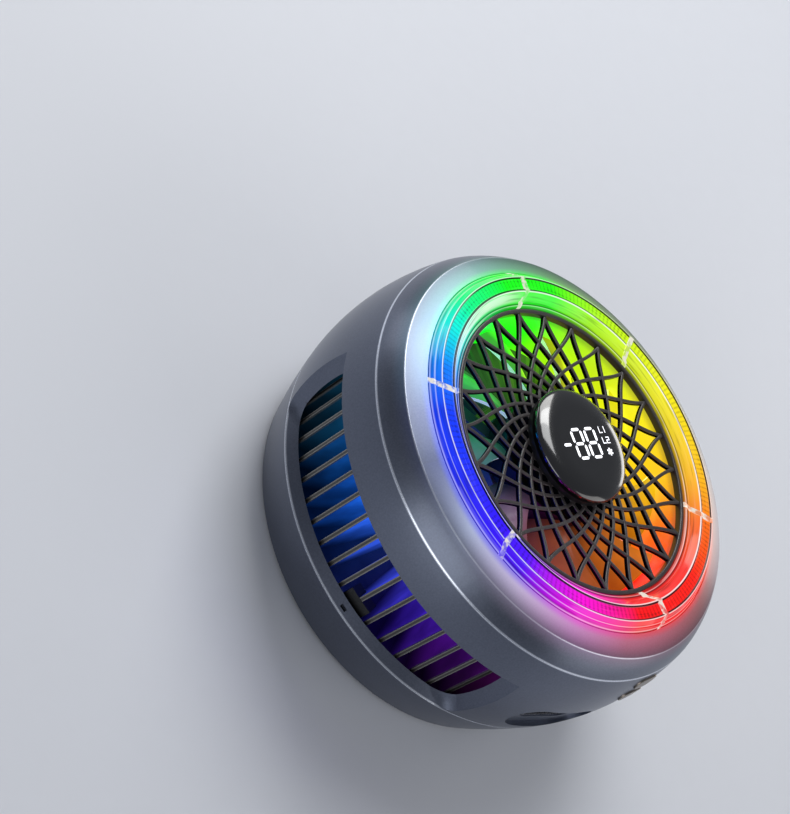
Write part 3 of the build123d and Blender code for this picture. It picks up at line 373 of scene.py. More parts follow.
def fin_lines_group():
    """Two thin painted highlight lines along each fin's outer edge. The angle is counted in fins, and its
    distance from the nearest fin's middle is turned to millimetres."""
    tree, start, end = new_group("fin lines", [("Position", "Vector", None)], [("Mask", "Float")])
    angle = use_group(tree, "axis", Position=start.outputs["Position"])["Angle"]
    turned = arithmetic(tree, "SUBTRACT", angle, math.radians(FIN_TURN) - FULL_TURN)
    fins = arithmetic(tree, "ADD", times(tree, turned, FIN_COUNT / FULL_TURN), 0.5)
    share = arithmetic(tree, "SUBTRACT", arithmetic(tree, "FRACT", fins), 0.5)
    pitch = FULL_TURN / FIN_COUNT * FIN_OUTER
    aside = times(tree, arithmetic(tree, "ABSOLUTE", share), pitch)
    feed(tree, between(tree, aside, 0.1, 0.24), end.inputs["Mask"])
    return tree


GROUP_MAKERS = {"axis": axis_group, "grain": grain_group, "crease": crease_group,
                "bands": ring_bands_group, "vent": vent_glow_group, "fin lines": fin_lines_group}


class Kit:
    """The node groups and the materials that are built already, by name."""

    groups = {}
    materials = {}


def group(name):
    """A node group by its plain name, built at its first use."""
    if name not in Kit.groups:
        Kit.groups[name] = hue_group(name) if name in HUES else GROUP_MAKERS[name]()
    return Kit.groups[name]


# Materials


def finish(name, colour, roughness, metallic=0.0, shade=0.1, grain=6000.0, patch=90.0, spread=0.08,
           bump=0.15, depth=0.004, coat=0.0, coat_ior=1.5, specular=0.5):
    """A surface with grain, wear and a fine bump. Returns its tree, shader, place and grain outputs."""
    material = bpy.data.materials.new(name)
    material.use_nodes = True
    tree = material.node_tree
    shader = tree.nodes["Principled BSDF"]
    place = node(tree, "ShaderNodeTexCoord").outputs["Object"]
    surface = use_group(tree, "grain", Position=place, Colour=colour, Shade=shade, Grain=grain,
                        Patch=patch, Roughness=roughness, Spread=spread)
    relief = node(tree, "ShaderNodeBump")
    relief.inputs["Strength"].default_value = bump
    relief.inputs["Distance"].default_value = depth * MM
    feed(tree, surface["Height"], relief.inputs["Height"])
    for label, value in (("Base Color", surface["Color"]), ("Roughness", surface["Roughness"]),
                         ("Normal", relief.outputs["Normal"]), ("Metallic", metallic),
                         ("Coat Weight", coat), ("Coat Roughness", 0.08), ("Coat IOR", coat_ior),
                         ("Specular IOR Level", specular)):
        feed(tree, value, shader.inputs[label])
    Kit.materials[name] = material
    return tree, shader, place, surface


def dimmed(tree, amount, colour):
    """A colour between black and itself, by an amount."""
    return mixed(tree, amount, BLACK, colour)


def shine(tree, shader, strength, colour):
    """Lets a surface give off light."""
    feed(tree, colour, shader.inputs["Emission Color"])
    feed(tree, strength, shader.inputs["Emission Strength"])


def colours():
    """The colour and light settings."""
    return bpy.context.scene.cooler_colours


def material(name, maker):
    """A material by name, made by its own function at its first use."""
    if name not in Kit.materials:
        maker(name)
    return Kit.materials[name]


def housing_metal(name):
    """Satin gunmetal: fine metallic grain, painted highlight lines on the creases, and the ring's light
    painted on the shoulder as a glow with painted highlights in it.
    """
    tree, shader, place, surface = finish(
        name, tuple(colours().housing), 0.36, metallic=0.9, shade=0.4, grain=4200.0, patch=45.0,
        spread=0.06, bump=0.4, depth=0.008, coat=0.1)
    axis = use_group(tree, "axis", Position=place)
    radius, height = axis["Radius"], axis["Height"]
    # Painted highlight lines along the creases: a lighter base colour and a lower roughness there
    painted_edge_highlight = 0.0
    for line_radius, line_height, width, strength in CREASES:
        crease = use_group(tree, "crease", Radius=radius, Height=height, Line_Radius=line_radius,
                           Line_Height=line_height, Width=width)
        painted_edge_highlight = arithmetic(tree, "MAXIMUM", painted_edge_highlight, times(tree, crease["Mask"], strength))
    with_painted_highlight = mixed(tree, painted_edge_highlight, surface["Color"], to_linear((232, 238, 250)))
    feed(tree, with_painted_highlight, shader.inputs["Base Color"])
    smoother = arithmetic(tree, "SUBTRACT", 1.0, times(tree, painted_edge_highlight, 0.35))
    feed(tree, times(tree, surface["Roughness"], smoother), shader.inputs["Roughness"])
    # The ring's light on the shoulder is painted as a glow: the ring's colours at the mouth, then the paler
    # spill colours, whose pale stops are painted highlights
    near = between(tree, radius, MOUTH_RADIUS - 0.2, SPILL_REACH, 1.0, 0.0)
    spill = times(tree, arithmetic(tree, "POWER", near, 1.15), between(tree, height, *SPILL_HEIGHTS))
    rim = between(tree, radius, MOUTH_RADIUS, MOUTH_RADIUS + 1.0, 0.6, 0.0)
    hue = use_group(tree, "ring hue", Position=place)["Color"]
    pale = use_group(tree, "spill hue", Position=place)["Color"]
    shine(tree, shader, colours().spill, dimmed(tree, spill, mixed(tree, rim, pale, hue)))


def duct_plastic(name):
    """The duct's inner wall, lit in the ring's colours and dimmer at its top. It lights what is round
    it by so many times more than the camera sees."""
    around = colours().duct_around
    tree, shader, place, surface = finish(name, (0.1, 0.1, 0.1), 0.35, shade=0.08, bump=0.08)
    axis = use_group(tree, "axis", Position=place)
    hue = use_group(tree, "ring hue", Position=place)["Color"]
    amount = times(tree, between(tree, axis["Height"], DUCT_FADE, DUCT_TOP, 1.0, 0.6),
                   between(tree, axis["Radius"], DUCT_RADIUS + 0.3, DUCT_RADIUS + 0.1),
                   between(tree, axis["Radius"], DUCT_RADIUS - 0.3, DUCT_RADIUS - 0.1),
                   between(tree, surface["Patches"], 0.2, 0.8, 0.86, 1.1))
    seen = node(tree, "ShaderNodeLightPath").outputs["Is Camera Ray"]
    gain = arithmetic(tree, "ADD", times(tree, seen, 1.0 - around), around)
    shine(tree, shader, colours().duct_light, scaled(tree, dimmed(tree, amount, hue), gain))


def light_guide_plastic(name):
    """Frosted light guide: the ring's colours, streaked by its radial ribs and dark at its rims."""
    tree, shader, place, surface = finish(name, (0.7, 0.72, 0.76), 0.35, shade=0.05)
    height = use_group(tree, "axis", Position=place)["Height"]
    raised = between(tree, height, *GUIDE_HEIGHTS, 0.78, 1.08)
    hue = use_group(tree, "ring hue", Position=place)["Color"]
    shine(tree, shader, colours().ring_light, dimmed(tree, raised, hue))


def ring_plastic(name):
    """Clear moulded plastic full of the ring's light: bands, streaks, painted highlight lines and dark lines
    at its edges, and a painted sheen.
    """
    tree, shader, place, surface = finish(name, (0.004, 0.004, 0.005), 0.1, shade=0.1, spread=0.04,
                                          grain=1500.0, bump=0.03, depth=0.003, specular=0.35)
    hue = use_group(tree, "ring hue", Position=place)["Color"]
    ribs = float(bpy.context.scene.cooler_sizes.ring_ribs)
    bands = use_group(tree, "bands", Position=place, Ribs=ribs)
    lit = mixed(tree, bands["Pale"], hue, WHITE)
    shine(tree, shader, colours().ring_light, dimmed(tree, bands["Bright"], lit))


def divider_plastic(name):
    """The clear dividers: in the ring's colour, with pale sparks in them."""
    tree, shader, place, surface = finish(name, (0.04, 0.04, 0.04), 0.12, shade=0.25, patch=900.0, coat=0.5)
    hue = use_group(tree, "ring hue", Position=place)["Color"]
    flecks = between(tree, surface["Patches"], 0.4, 0.58, 0.12, 0.95)
    shine(tree, shader, 0.8, mixed(tree, flecks, hue, to_linear((255, 250, 236))))


def sink_aluminium(name):
    """Dark satin aluminium, painted near black but at the fins' outer edge as shade between them, with
    painted highlight lines along each fin's edge and the vent's light painted deep between the fins.
    """
    tree, shader, place, surface = finish(name, to_linear((104, 102, 98)), 0.42, metallic=0.8, shade=0.2,
                                          grain=5000.0, patch=120.0, bump=0.2)
    # The vent's light is painted on the sink as a glow, streaked by the broad noise
    glow = use_group(tree, "vent", Position=place)["Color"]
    streaks = between(tree, surface["Patches"], 0.3, 0.7, 0.4, 1.15)
    shine(tree, shader, colours().vent_light, dimmed(tree, streaks, glow))
    radius = use_group(tree, "axis", Position=place)["Radius"]
    # Painted shade: the base colour is near black everywhere but on the fins' outer edge
    edge = between(tree, radius, FIN_OUTER - 0.35, FIN_OUTER - 0.02)
    # Painted highlight lines along each fin's edge: light grey at its sides, dark grey at its middle
    lines = use_group(tree, "fin lines", Position=place)["Mask"]
    painted_edge_highlight = mixed(tree, lines, to_linear((46, 46, 46)), to_linear((176, 176, 172)))
    with_painted_highlight = mixed(tree, 0.55, painted_edge_highlight, surface["Color"])
    feed(tree, mixed(tree, edge, (0.008, 0.009, 0.012), with_painted_highlight), shader.inputs["Base Color"])


def display_light(name):
    """White light of the display's marks, a little uneven."""
    tree, shader, place, surface = finish(name, (0.9, 0.92, 1.0), 0.4)
    bright = between(tree, surface["Patches"], 0.2, 0.8, 0.9, 1.0)
    shine(tree, shader, colours().display_light, dimmed(tree, bright, (0.97, 0.98, 1.0)))


def blade_plastic(name):
    """Smoked blades with the duct's light painted on them as a glow: brighter towards the front and towards
    their tips, with painted shade lower down and near the hub.
    """
    tree, shader, place, surface = finish(name, to_linear((42, 42, 46)), 0.3, shade=0.1, patch=260.0,
                                          specular=0.3, bump=0.08)
    axis = use_group(tree, "axis", Position=place)
    # Painted light and shade: the glow is dimmer lower down and near the hub, and varies in broad patches
    amount = times(tree, between(tree, axis["Height"], ROTOR_BOTTOM, ROTOR_TOP, 0.45, 1.0),
                   between(tree, axis["Radius"], HUB_RADIUS, HUB_RADIUS + 4.0, 0.25, 1.0),
                   between(tree, surface["Patches"], 0.3, 0.7, 0.75, 1.05))
    hue = use_group(tree, "blade hue", Position=place)["Color"]
    shine(tree, shader, colours().blade_light, dimmed(tree, amount, hue))


def blade_edge_plastic(name):
    """The blades' clear edges, with a pale glow painted on them as highlights."""
    tree, shader, place, surface = finish(name, to_linear((238, 240, 246)), 0.2, shade=0.05)
    hue = use_group(tree, "blade hue", Position=place)["Color"]
    shine(tree, shader, 0.55, mixed(tree, 0.5, hue, surface["Color"]))


# Surfaces of the simple finishes: colour of 0 to 255, roughness and what else differs
PLAIN_FINISHES = {
    "pad silicone": ((150, 153, 158), 0.62, {"shade": 0.06, "grain": 2500.0, "bump": 0.3}),
    "grip rubber": ((34, 35, 38), 0.78, {"shade": 0.12, "grain": 3500.0, "bump": 0.5}),
    "gasket foam": ((26, 26, 27), 0.9, {"shade": 0.2, "grain": 1800.0, "bump": 0.9, "depth": 0.03}),
    "black plastic": ((15, 16, 18), 0.5, {"shade": 0.12, "grain": 5000.0, "bump": 0.35}),
    "screw steel": ((188, 188, 192), 0.3, {"metallic": 1.0, "grain": 3000.0}),
    "magnet plating": ((202, 202, 206), 0.2, {"metallic": 1.0, "shade": 0.06}),
    "yoke steel": ((140, 140, 146), 0.36, {"metallic": 1.0, "shade": 0.15}),
    "machined aluminium": ((206, 208, 212), 0.3, {"metallic": 1.0, "grain": 2200.0}),
    "white ceramic": ((226, 226, 220), 0.55, {"shade": 0.05}),
    "pellet alloy": ((110, 110, 118), 0.45, {"metallic": 0.8}),
    "circuit board": ((20, 62, 44), 0.4, {"shade": 0.18, "grain": 1200.0, "coat": 0.4}),
    "chip black": ((18, 18, 20), 0.45, {"shade": 0.1}),
    "socket steel": ((170, 171, 176), 0.28, {"metallic": 1.0}),
    "button metal": ((128, 121, 114), 0.38, {"metallic": 0.85, "grain": 9000.0, "bump": 0.25}),
    "bearing brass": ((196, 150, 78), 0.35, {"metallic": 1.0, "grain": 4000.0}),
    "stator steel": ((96, 96, 102), 0.45, {"metallic": 1.0}),
    "winding copper": ((176, 92, 44), 0.35, {"metallic": 0.9, "shade": 0.2, "grain": 2500.0}),
    "shaft steel": ((206, 206, 210), 0.15, {"metallic": 1.0}),
    "ferrite": ((44, 44, 47), 0.6, {"shade": 0.15}),
    "hub plastic": ((9, 9, 10), 0.5, {"shade": 0.1, "specular": 0.3}),
    # A near-black, unshiny copy of the grille's plastic: painted shade on the ribs' sides and ends, the
    # grille's middle ring and the dome's underside
    "painted shade black": ((7, 7, 12), 0.8, {"shade": 0.1, "specular": 0.0}),
    "grille plastic": ((54, 49, 50), 0.38, {"shade": 0.1, "grain": 7000.0, "coat": 0.15, "bump": 0.2}),
    "dome black": ((6, 6, 7), 0.18, {"shade": 0.2, "spread": 0.03, "coat": 1.0, "coat_ior": 1.7,
                                     "bump": 0.02}),
}


def plain(name):
    """One of the simple finishes."""
    if name not in Kit.materials:
        colour, roughness, extra = PLAIN_FINISHES[name]
        finish(name, to_linear(colour), roughness, **extra)
    return Kit.materials[name]


# Mesh helpers. Points are in millimetres, and the distance under which they merge is in metres

TURN_STEPS = 192
MERGE_DISTANCE = 1e-7


def rounded(corners, radius, steps=4):
    """Rounds the corners of an open line. Each inner corner becomes a short curve whose points are
    (1-t)^2 A + 2t(1-t) B + t^2 C, with B the corner and A and C a radius before and after it, or
    nearly half of a short side."""
    corners = np.asarray(corners, float)
    share = np.linspace(0, 1, steps + 1)[:, None]
    pieces = [corners[:1]]
    for before, corner, after in zip(corners[:-2], corners[1:-1], corners[2:]):
        back, ahead = before - corner, after - corner
        reach_back = min(radius, np.linalg.norm(back) * 0.45)
        reach_ahead = min(radius, np.linalg.norm(ahead) * 0.45)
        first = corner + back / np.linalg.norm(back) * reach_back
        last = corner + ahead / np.linalg.norm(ahead) * reach_ahead
        pieces.append((1 - share) ** 2 * first + 2 * share * (1 - share) * corner + share ** 2 * last)
    pieces.append(corners[-1:])
    return np.concatenate(pieces)


def rounded_ring(inner, outer, bottom, top, radius):
    """The closed profile of a flat ring with rounded edges. It starts and ends inside a side."""
    middle = (inner + outer) / 2
    corners = [(middle, bottom), (outer, bottom), (outer, top), (inner, top), (inner, bottom),
               (middle, bottom)]
    return rounded(corners, radius)[:-1]


def polar(radius, angle, height):
    """Points (r cos a, r sin a, z)."""
    return np.stack(np.broadcast_arrays(radius * np.cos(angle), radius * np.sin(angle), height), axis=-1)


def grid_faces(rows, columns, wrap_rows=False, wrap_columns=False):
    """The four corners of each cell of a grid of points, numbered row by row."""
    across = np.arange(columns if wrap_columns else columns - 1)
    along = np.arange(rows if wrap_rows else rows - 1)
    row, column = np.meshgrid(along, across, indexing="ij")
    next_row, next_column = (row + 1) % rows, (column + 1) % columns
    cells = np.stack([row * columns + column, row * columns + next_column,
                      next_row * columns + next_column, next_row * columns + column], axis=-1)
    return cells.reshape(-1, 4)


def lathe(profile, steps=TURN_STEPS, closed=True):
    """Turns a profile of (radius, height) about the fan's axis. Rows of the grid run along the
    profile and columns round the axis. A closed profile joins its last point to its first."""
    profile = np.asarray(profile, float)
    angles = np.linspace(0, FULL_TURN, steps, endpoint=False)
    points = polar(profile[:, :1], angles, profile[:, 1:]).reshape(-1, 3)
    return points, grid_faces(len(profile), steps, wrap_rows=closed, wrap_columns=True)


def joined(parts):
    """Several parts as one: their points in a row, and their faces numbered through."""
    faces = []
    count = 0
    for points, part_faces in parts:
        faces += [[corner + count for corner in face] for face in part_faces]
        count += len(points)
    return np.concatenate([points for points, _ in parts]), faces


def add_object(name, data):
    """Puts an object into the scene."""
    made = bpy.data.objects.new(name, data)
    bpy.context.scene.collection.objects.link(made)
    return made


def close_and_turn(mesh):
    """Merges doubled points, such as poles and seams, and turns every face outwards."""
    work = bmesh.new()
    work.from_mesh(mesh)
    bmesh.ops.remove_doubles(work, verts=work.verts, dist=MERGE_DISTANCE)
    bmesh.ops.recalc_face_normals(work, faces=work.faces)
    work.to_mesh(mesh)
    work.free()
    mesh.update()


def add_piece(name, points, faces, body, materials, sharp=32.0, face_materials=None):
    """Makes a closed mesh, smooth but for edges sharper than an angle, and lets it ride on a body."""
    mesh = bpy.data.meshes.new(name)
    mesh.from_pydata((np.asarray(points) * MM).tolist(), [], [list(face) for face in faces])
    mesh.update()
    for made in materials:
        mesh.materials.append(made)
    if face_materials is not None:
        mesh.polygons.foreach_set("material_index", np.asarray(face_materials, np.int32))
    piece = add_object(name, mesh)
    close_and_turn(mesh)
    mesh.shade_smooth()
    mesh.set_sharp_from_angle(angle=math.radians(sharp))
    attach(piece, body)
    return piece


def dress(name, made):
    """Gives a CAD node a material in every slot that it has."""
    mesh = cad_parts[name].data
    if not mesh.materials:
        mesh.materials.append(made)
    for index in range(len(mesh.materials)):
        mesh.materials[index] = made


def dress_plainly(pairs):
    """Gives CAD nodes their simple finishes, from pairs of a node and a finish."""
    for name, kind in pairs:
        dress(name, plain(kind))


# Settings


def length(name, default, description):
    """A length, its default given in millimetres."""
    return FloatProperty(name=name, default=default * MM, unit="LENGTH", description=description)


def amount(name, default, description):
    """A plain number."""
    return FloatProperty(name=name, default=default, description=description)


class CoolerSizes(bpy.types.PropertyGroup):
    """Sizes of the new pieces."""

    lens_crest: length("Lens crest", 1.3, "Height of the clear ring's ridge over the housing")
    lens_edge: length("Lens edge", 0.1, "Rounding of the clear ring's steps")
    divider_width: length("Divider width", 0.7, "Width of the clear ring's dividers")
    ring_ribs: IntProperty(name="Ring ribs", default=204, description="Fine ribs round the clear ring")
    rib_width: length("Rib width", 0.54, "Width of the grille's ribs")
    rib_nodes: IntProperty(name="Rib nodes", default=24, description="Places on the rim where ribs meet")
    blade_count: IntProperty(name="Blades", default=9, description="Blades of the fan")
    dome_rounding: length("Dome rounding", 3.5, "Width of the rounding at the dome's edge")


class CoolerColours(bpy.types.PropertyGroup):
    """Colours and light of the finishes."""

    housing: FloatVectorProperty(name="Housing", default=to_linear((98, 104, 119)), min=0, max=1,
                                 subtype="COLOR", description="Colour of the satin housing")
    ring_light: amount("Ring light", 1.05, "Strength of the light ring")
    duct_light: amount("Duct light", 1.0, "Strength of the light in the duct")
    duct_around: amount("Duct light around", 3.0, "How many times more the duct lights than is seen of it")
    blade_light: amount("Blade light", 0.85, "Strength of the light in the blades")
    vent_light: amount("Vent light", 1.3, "Strength of the light between the fins")
    spill: amount("Spill", 0.8, "Strength of the ring's light on the shoulder")
    display_light: amount("Display light", 0.98, "Strength of the display's marks")


# Operators, one for each piece or group of like pieces


class COOLER_OT_housing(bpy.types.Operator):
    """Finish the housing, its buttons and the small block in the vent"""

    bl_idname = "cooler.housing"
    bl_label = "Housing"

    def execute(self, context):
        dress("housing", material("housing metal", housing_metal))
        dress_plainly((
            ("button_lower", "button metal"), ("button_upper", "button metal"),
            ("vent_block", "black plastic"), ("socket_shell", "socket steel"),
            ("socket_tongue", "chip black"),
        ))
        return {"FINISHED"}


class COOLER_OT_heat_sink(bpy.types.Operator):
    """Finish the heat sink and the fan's duct"""

    bl_idname = "cooler.heat_sink"
    bl_label = "Heat sink and duct"

    def execute(self, context):
        dress("heat_sink", material("sink aluminium", sink_aluminium))
        dress("fan_frame", material("duct plastic", duct_plastic))
        return {"FINISHED"}


# The clear ring's section: shares of its width, and of its crest's height over the housing
LENS_CORNERS = (
    (0.0, -1.08), (0.0, -0.12), (0.06, 0.04), (0.15, 0.1), (0.18, 0.3), (0.33, 0.9), (0.36, 1.0),
    (0.4, 1.0), (0.42, 0.9), (0.72, 0.9), (0.74, 1.0), (0.77, 1.0), (0.8, 0.86), (0.87, 0.48),
    (0.92, 0.4), (0.96, 0.06), (1.0, -0.08), (1.0, -1.08),
)
PLATEAU_EDGE = 0.25
PLATEAU_PARTS = 8
PLATEAU_RIB_DEPTH = 0.02
POINTS_PER_RIB = 4

# Each divider's angle and the side that it leans to, how far it leans on the ring's inner and outer
# slope, its rise over the ring and the gap beside it
DIVIDERS = ((37.9, -1), (88.3, 1), (157.9, -1), (208.3, 1), (277.9, -1), (328.3, 1))
INNER_SLANT = 1.4
OUTER_SLANT = 1.1
DIVIDER_RISE = 0.1
DIVIDER_GAP = 0.05
DIVIDER_STEPS = 7


def lens_profile(sizes, rise):
    """The clear ring's section, raised by a rise except at its foot."""
    crest = sizes.lens_crest / MM
    width = LENS_OUTER - LENS_INNER
    corners = [(LENS_INNER + across * width, HOUSING_TOP + up * crest + rise * (up > -1))
               for across, up in LENS_CORNERS]
    return rounded(corners, sizes.lens_edge / MM)


def fine_plateau(profile):
    """Puts more points on the flat of the ring's raised middle, so that its ribs end softly."""
    pieces = []
    for first, last in zip(profile[:-1], profile[1:]):
        flat = abs(last[0] - first[0]) > 1 and first[1] > HOUSING_TOP
        share = np.linspace(0, 1, PLATEAU_PARTS + 1 if flat else 2)[:-1, None]
        pieces.append(first * (1 - share) + last * share)
    pieces.append(profile[-1:])
    return np.concatenate(pieces)


def slant(radius, side):
    """How far aside a divider's middle line lies at a radius: nothing on the ring's raised middle,
    then evenly more down both slopes."""
    inner = np.clip((PLATEAU_INNER - radius) / (PLATEAU_INNER - LENS_INNER), 0, 1) * INNER_SLANT
    outer = np.clip((radius - PLATEAU_OUTER) / (LENS_OUTER - PLATEAU_OUTER), 0, 1) * OUTER_SLANT
    return side * (inner + outer)


def ring_sector(profile, starts, ends, steps, rib_count):
    """A closed solid along the ring, whose angle a runs evenly from a start to an end that both
    depend on the radius. The raised middle carries fine ribs: the height falls by a depth times the
    square of the sine of the rib count times half of a."""
    share = np.linspace(0, 1, steps)[None, :]
    radius, height = profile[:, :1], profile[:, 1:]
    angle = starts[:, None] + (ends - starts)[:, None] * share
    middle = (radius > PLATEAU_INNER + PLATEAU_EDGE) & (radius < PLATEAU_OUTER - PLATEAU_EDGE)
    depth = np.where(middle & (height > HOUSING_TOP), PLATEAU_RIB_DEPTH, 0)
    points = polar(radius, angle, height - np.sin(angle * rib_count / 2) ** 2 * depth)
    rows, columns = angle.shape
    faces = grid_faces(rows, columns, wrap_rows=True).tolist()
    for column in (0, columns - 1):
        faces.append((np.arange(rows) * columns + column).tolist())
    return points.reshape(-1, 3), faces


class COOLER_OT_lens(bpy.types.Operator):
    """Build the six clear segments of the ring, with a gap for a divider between each two"""

    bl_idname = "cooler.lens"
    bl_label = "Clear ring"

    def execute(self, context):
        sizes = context.scene.cooler_sizes
        profile = fine_plateau(lens_profile(sizes, 0.0))
        clear = material("ring plastic", ring_plastic)
        gap = sizes.divider_width / MM / 2 + DIVIDER_GAP
        radius = profile[:, 0]
        for index, (degrees, side) in enumerate(DIVIDERS):
            after, next_side = DIVIDERS[(index + 1) % len(DIVIDERS)]
            last = degrees + (after - degrees) % 360
            starts = math.radians(degrees) + (slant(radius, side) + gap) / radius
            ends = math.radians(last) + (slant(radius, next_side) - gap) / radius
            steps = int((ends - starts).mean() / FULL_TURN * sizes.ring_ribs * POINTS_PER_RIB)
            points, faces = ring_sector(profile, starts, ends, steps, sizes.ring_ribs)
            name = "lens_segment_" + str(index + 1)
            piece = add_piece("clear_" + name, points, faces, "cooler", [clear], sharp=50)
            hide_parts(name)
        return {"FINISHED"}


class COOLER_OT_dividers(bpy.types.Operator):
    """Build the clear dividers of the ring, radial on its raised middle and slanting on its slopes"""

    bl_idname = "cooler.dividers"
    bl_label = "Dividers"

    def execute(self, context):
        sizes = context.scene.cooler_sizes
        profile = lens_profile(sizes, DIVIDER_RISE)
        radius = profile[:, 0]
        half = sizes.divider_width / MM / 2 / radius
        parts = []
        for degrees, side in DIVIDERS:
            middle = math.radians(degrees) + slant(radius, side) / radius
            parts.append(ring_sector(profile, middle - half, middle + half, DIVIDER_STEPS, 0))
        points, faces = joined(parts)
        clear = material("divider plastic", divider_plastic)
        piece = add_piece("clear_dividers", points, faces, "cooler", [clear], sharp=50)
        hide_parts("lens_dividers")
        return {"FINISHED"}


class COOLER_OT_lights(bpy.types.Operator):
    """Finish the light guide, the lights and their board"""

    bl_idname = "cooler.lights"
    bl_label = "Light ring"

    def execute(self, context):
        dress("light_guide", material("light guide plastic", light_guide_plastic))
        dress("lights", material("display light", display_light))
        dress("light_board", plain("circuit board"))
        return {"FINISHED"}


# The grille's rim and the ring in its middle, and its ribs: where the first two meet on the rim, how
# they turn on their way in, their tops at both ends, their section with the foot as a share of its
# width, and how far their ends reach past the rim's inner side and stay off the middle ring's
GRILLE_RIM_OUTER = 20.65
GRILLE_RIM_INNER = 20.0
GRILLE_RIM_TOP = 31.7
GRILLE_RIM_ROUNDING = 0.2
GRILLE_HUB_OUTER = 8.97
GRILLE_HUB_INNER = 7.37
GRILLE_HUB_TOP = 30.73
GRILLE_HUB_BOTTOM = 29.85
GRILLE_HUB_ROUNDING = 0.25
RIB_START = 2.3
RIB_LEAN = 13.6
RIB_CURL = 105.0
RIB_TOP_RIM = 31.45
RIB_TOP_HUB = 30.85
RIB_DEPTH = 0.65
RIB_FOOT = 0.72
RIB_ROUNDING = 0.16
RIB_SINK_RIM = 0.3
RIB_SINK_HUB = 0.1
RIB_STEP_DOWN = 0.012
RIB_STEPS = 44


def rib_path(sign, degrees):
    """The middle line of one rib and its top's height. Its distance from the axis falls evenly from
    the rim to the middle, and its angle turns by the lean times the way in plus the curl times its
    square."""
    radius = np.linspace(GRILLE_RIM_INNER + RIB_SINK_RIM, GRILLE_HUB_INNER + RIB_SINK_HUB, RIB_STEPS)
    inward = np.clip((GRILLE_RIM_INNER - radius) / GRILLE_RIM_INNER, 0, None)
    angle = np.radians(degrees + sign * (RIB_LEAN * inward + RIB_CURL * inward ** 2))
    share = np.clip((GRILLE_RIM_INNER - radius) / (GRILLE_RIM_INNER - GRILLE_HUB_OUTER), 0, 1)
    top = RIB_TOP_RIM + (RIB_TOP_HUB - RIB_TOP_RIM) * share
    return np.stack([radius * np.cos(angle), radius * np.sin(angle)], axis=-1), top


def rib(sign, degrees, section):
    """One rib as a closed solid. Its section holds the place aside and the depth, which counts in
    millimetres at the rounded top and in whole depths at the foot. Ribs of one family lie a hair
    lower, so that no two tops share a plane."""
    path, top = rib_path(sign, degrees)
    along = np.gradient(path, axis=0)
    along /= np.linalg.norm(along, axis=1, keepdims=True)
    aside = np.stack([-along[:, 1], along[:, 0]], axis=-1)
    depth = np.clip(section[None, :, 1], 0, None)
    drop = np.where(depth > 0.4, RIB_DEPTH * depth, depth)
    flat = path[:, None] + aside[:, None] * section[None, :, :1]
    height = top[:, None] - drop - (RIB_STEP_DOWN if sign > 0 else 0.0)
    points = np.concatenate([flat, height[..., None]], axis=-1).reshape(-1, 3)
    columns = len(section)
    faces = grid_faces(RIB_STEPS, columns, wrap_columns=True).tolist()
    for first in (0, (RIB_STEPS - 1) * columns):
        faces.append(list(range(first, first + columns)))
    return points, faces


class COOLER_OT_grille(bpy.types.Operator):
    """Build the grille: a rim, two families of crossing curved ribs and the ring round the display"""

    bl_idname = "cooler.grille"
    bl_label = "Grille"

    def execute(self, context):
        sizes = context.scene.cooler_sizes
        half = sizes.rib_width / MM / 2
        foot = half * RIB_FOOT
        section = rounded([(foot, 1.0), (half, 0.0), (-half, 0.0), (-foot, 1.0)], RIB_ROUNDING)
        # The ribs' sides and ends, and the middle ring, take the near-black finish: painted shade
        sides = (section[:, 1] + np.roll(section[:, 1], -1) > 0.5).astype(int).tolist()
        pitch = 360 / sizes.rib_nodes
        parts, kinds = [], []
        for index in range(sizes.rib_nodes):
            for sign in (1, -1):
                parts.append(rib(sign, RIB_START + pitch * index, section))
                kinds += sides * (RIB_STEPS - 1) + [1, 1]
        rim = rounded_ring(GRILLE_RIM_INNER, GRILLE_RIM_OUTER, DUCT_TOP, GRILLE_RIM_TOP,
                           GRILLE_RIM_ROUNDING)
        hub = rounded_ring(GRILLE_HUB_INNER, GRILLE_HUB_OUTER, GRILLE_HUB_BOTTOM, GRILLE_HUB_TOP,
                           GRILLE_HUB_ROUNDING)
        for kind, profile in enumerate((rim, hub)):
            parts.append(lathe(profile))
            kinds += [kind] * len(parts[-1][1])
        points, faces = joined(parts)
        materials = [plain("grille plastic"), plain("painted shade black")]
        piece = add_piece("lattice_grille", points, faces, "cooler", materials, sharp=60,
                          face_materials=kinds)
        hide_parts("grille")
        return {"FINISHED"}


# A blade's tip, and how deep its root sits in the hub. Its chord and pitch at its root and how much
# they change to its tip, its sweep, its arch as a share of the chord, and half of its thickness
BLADE_TIP = 19.52
BLADE_SINK = 0.3
BLADE_CHORD = 4.8
BLADE_WIDENING = 5.6
BLADE_PITCH = 42
BLADE_FLATTENING = 17
BLADE_SWEEP = 16
BLADE_ARCH = 0.1
BLADE_HALF_THICKNESS = 0.3
BLADE_MIDDLE = 25.7
BLADE_CLEARANCE = 0.32
BLADE_ROWS = 26
BLADE_COLUMNS = 30
HUB_WALL = 0.8
HUB_CUT = 0.5
HUB_ROUNDING = 0.35


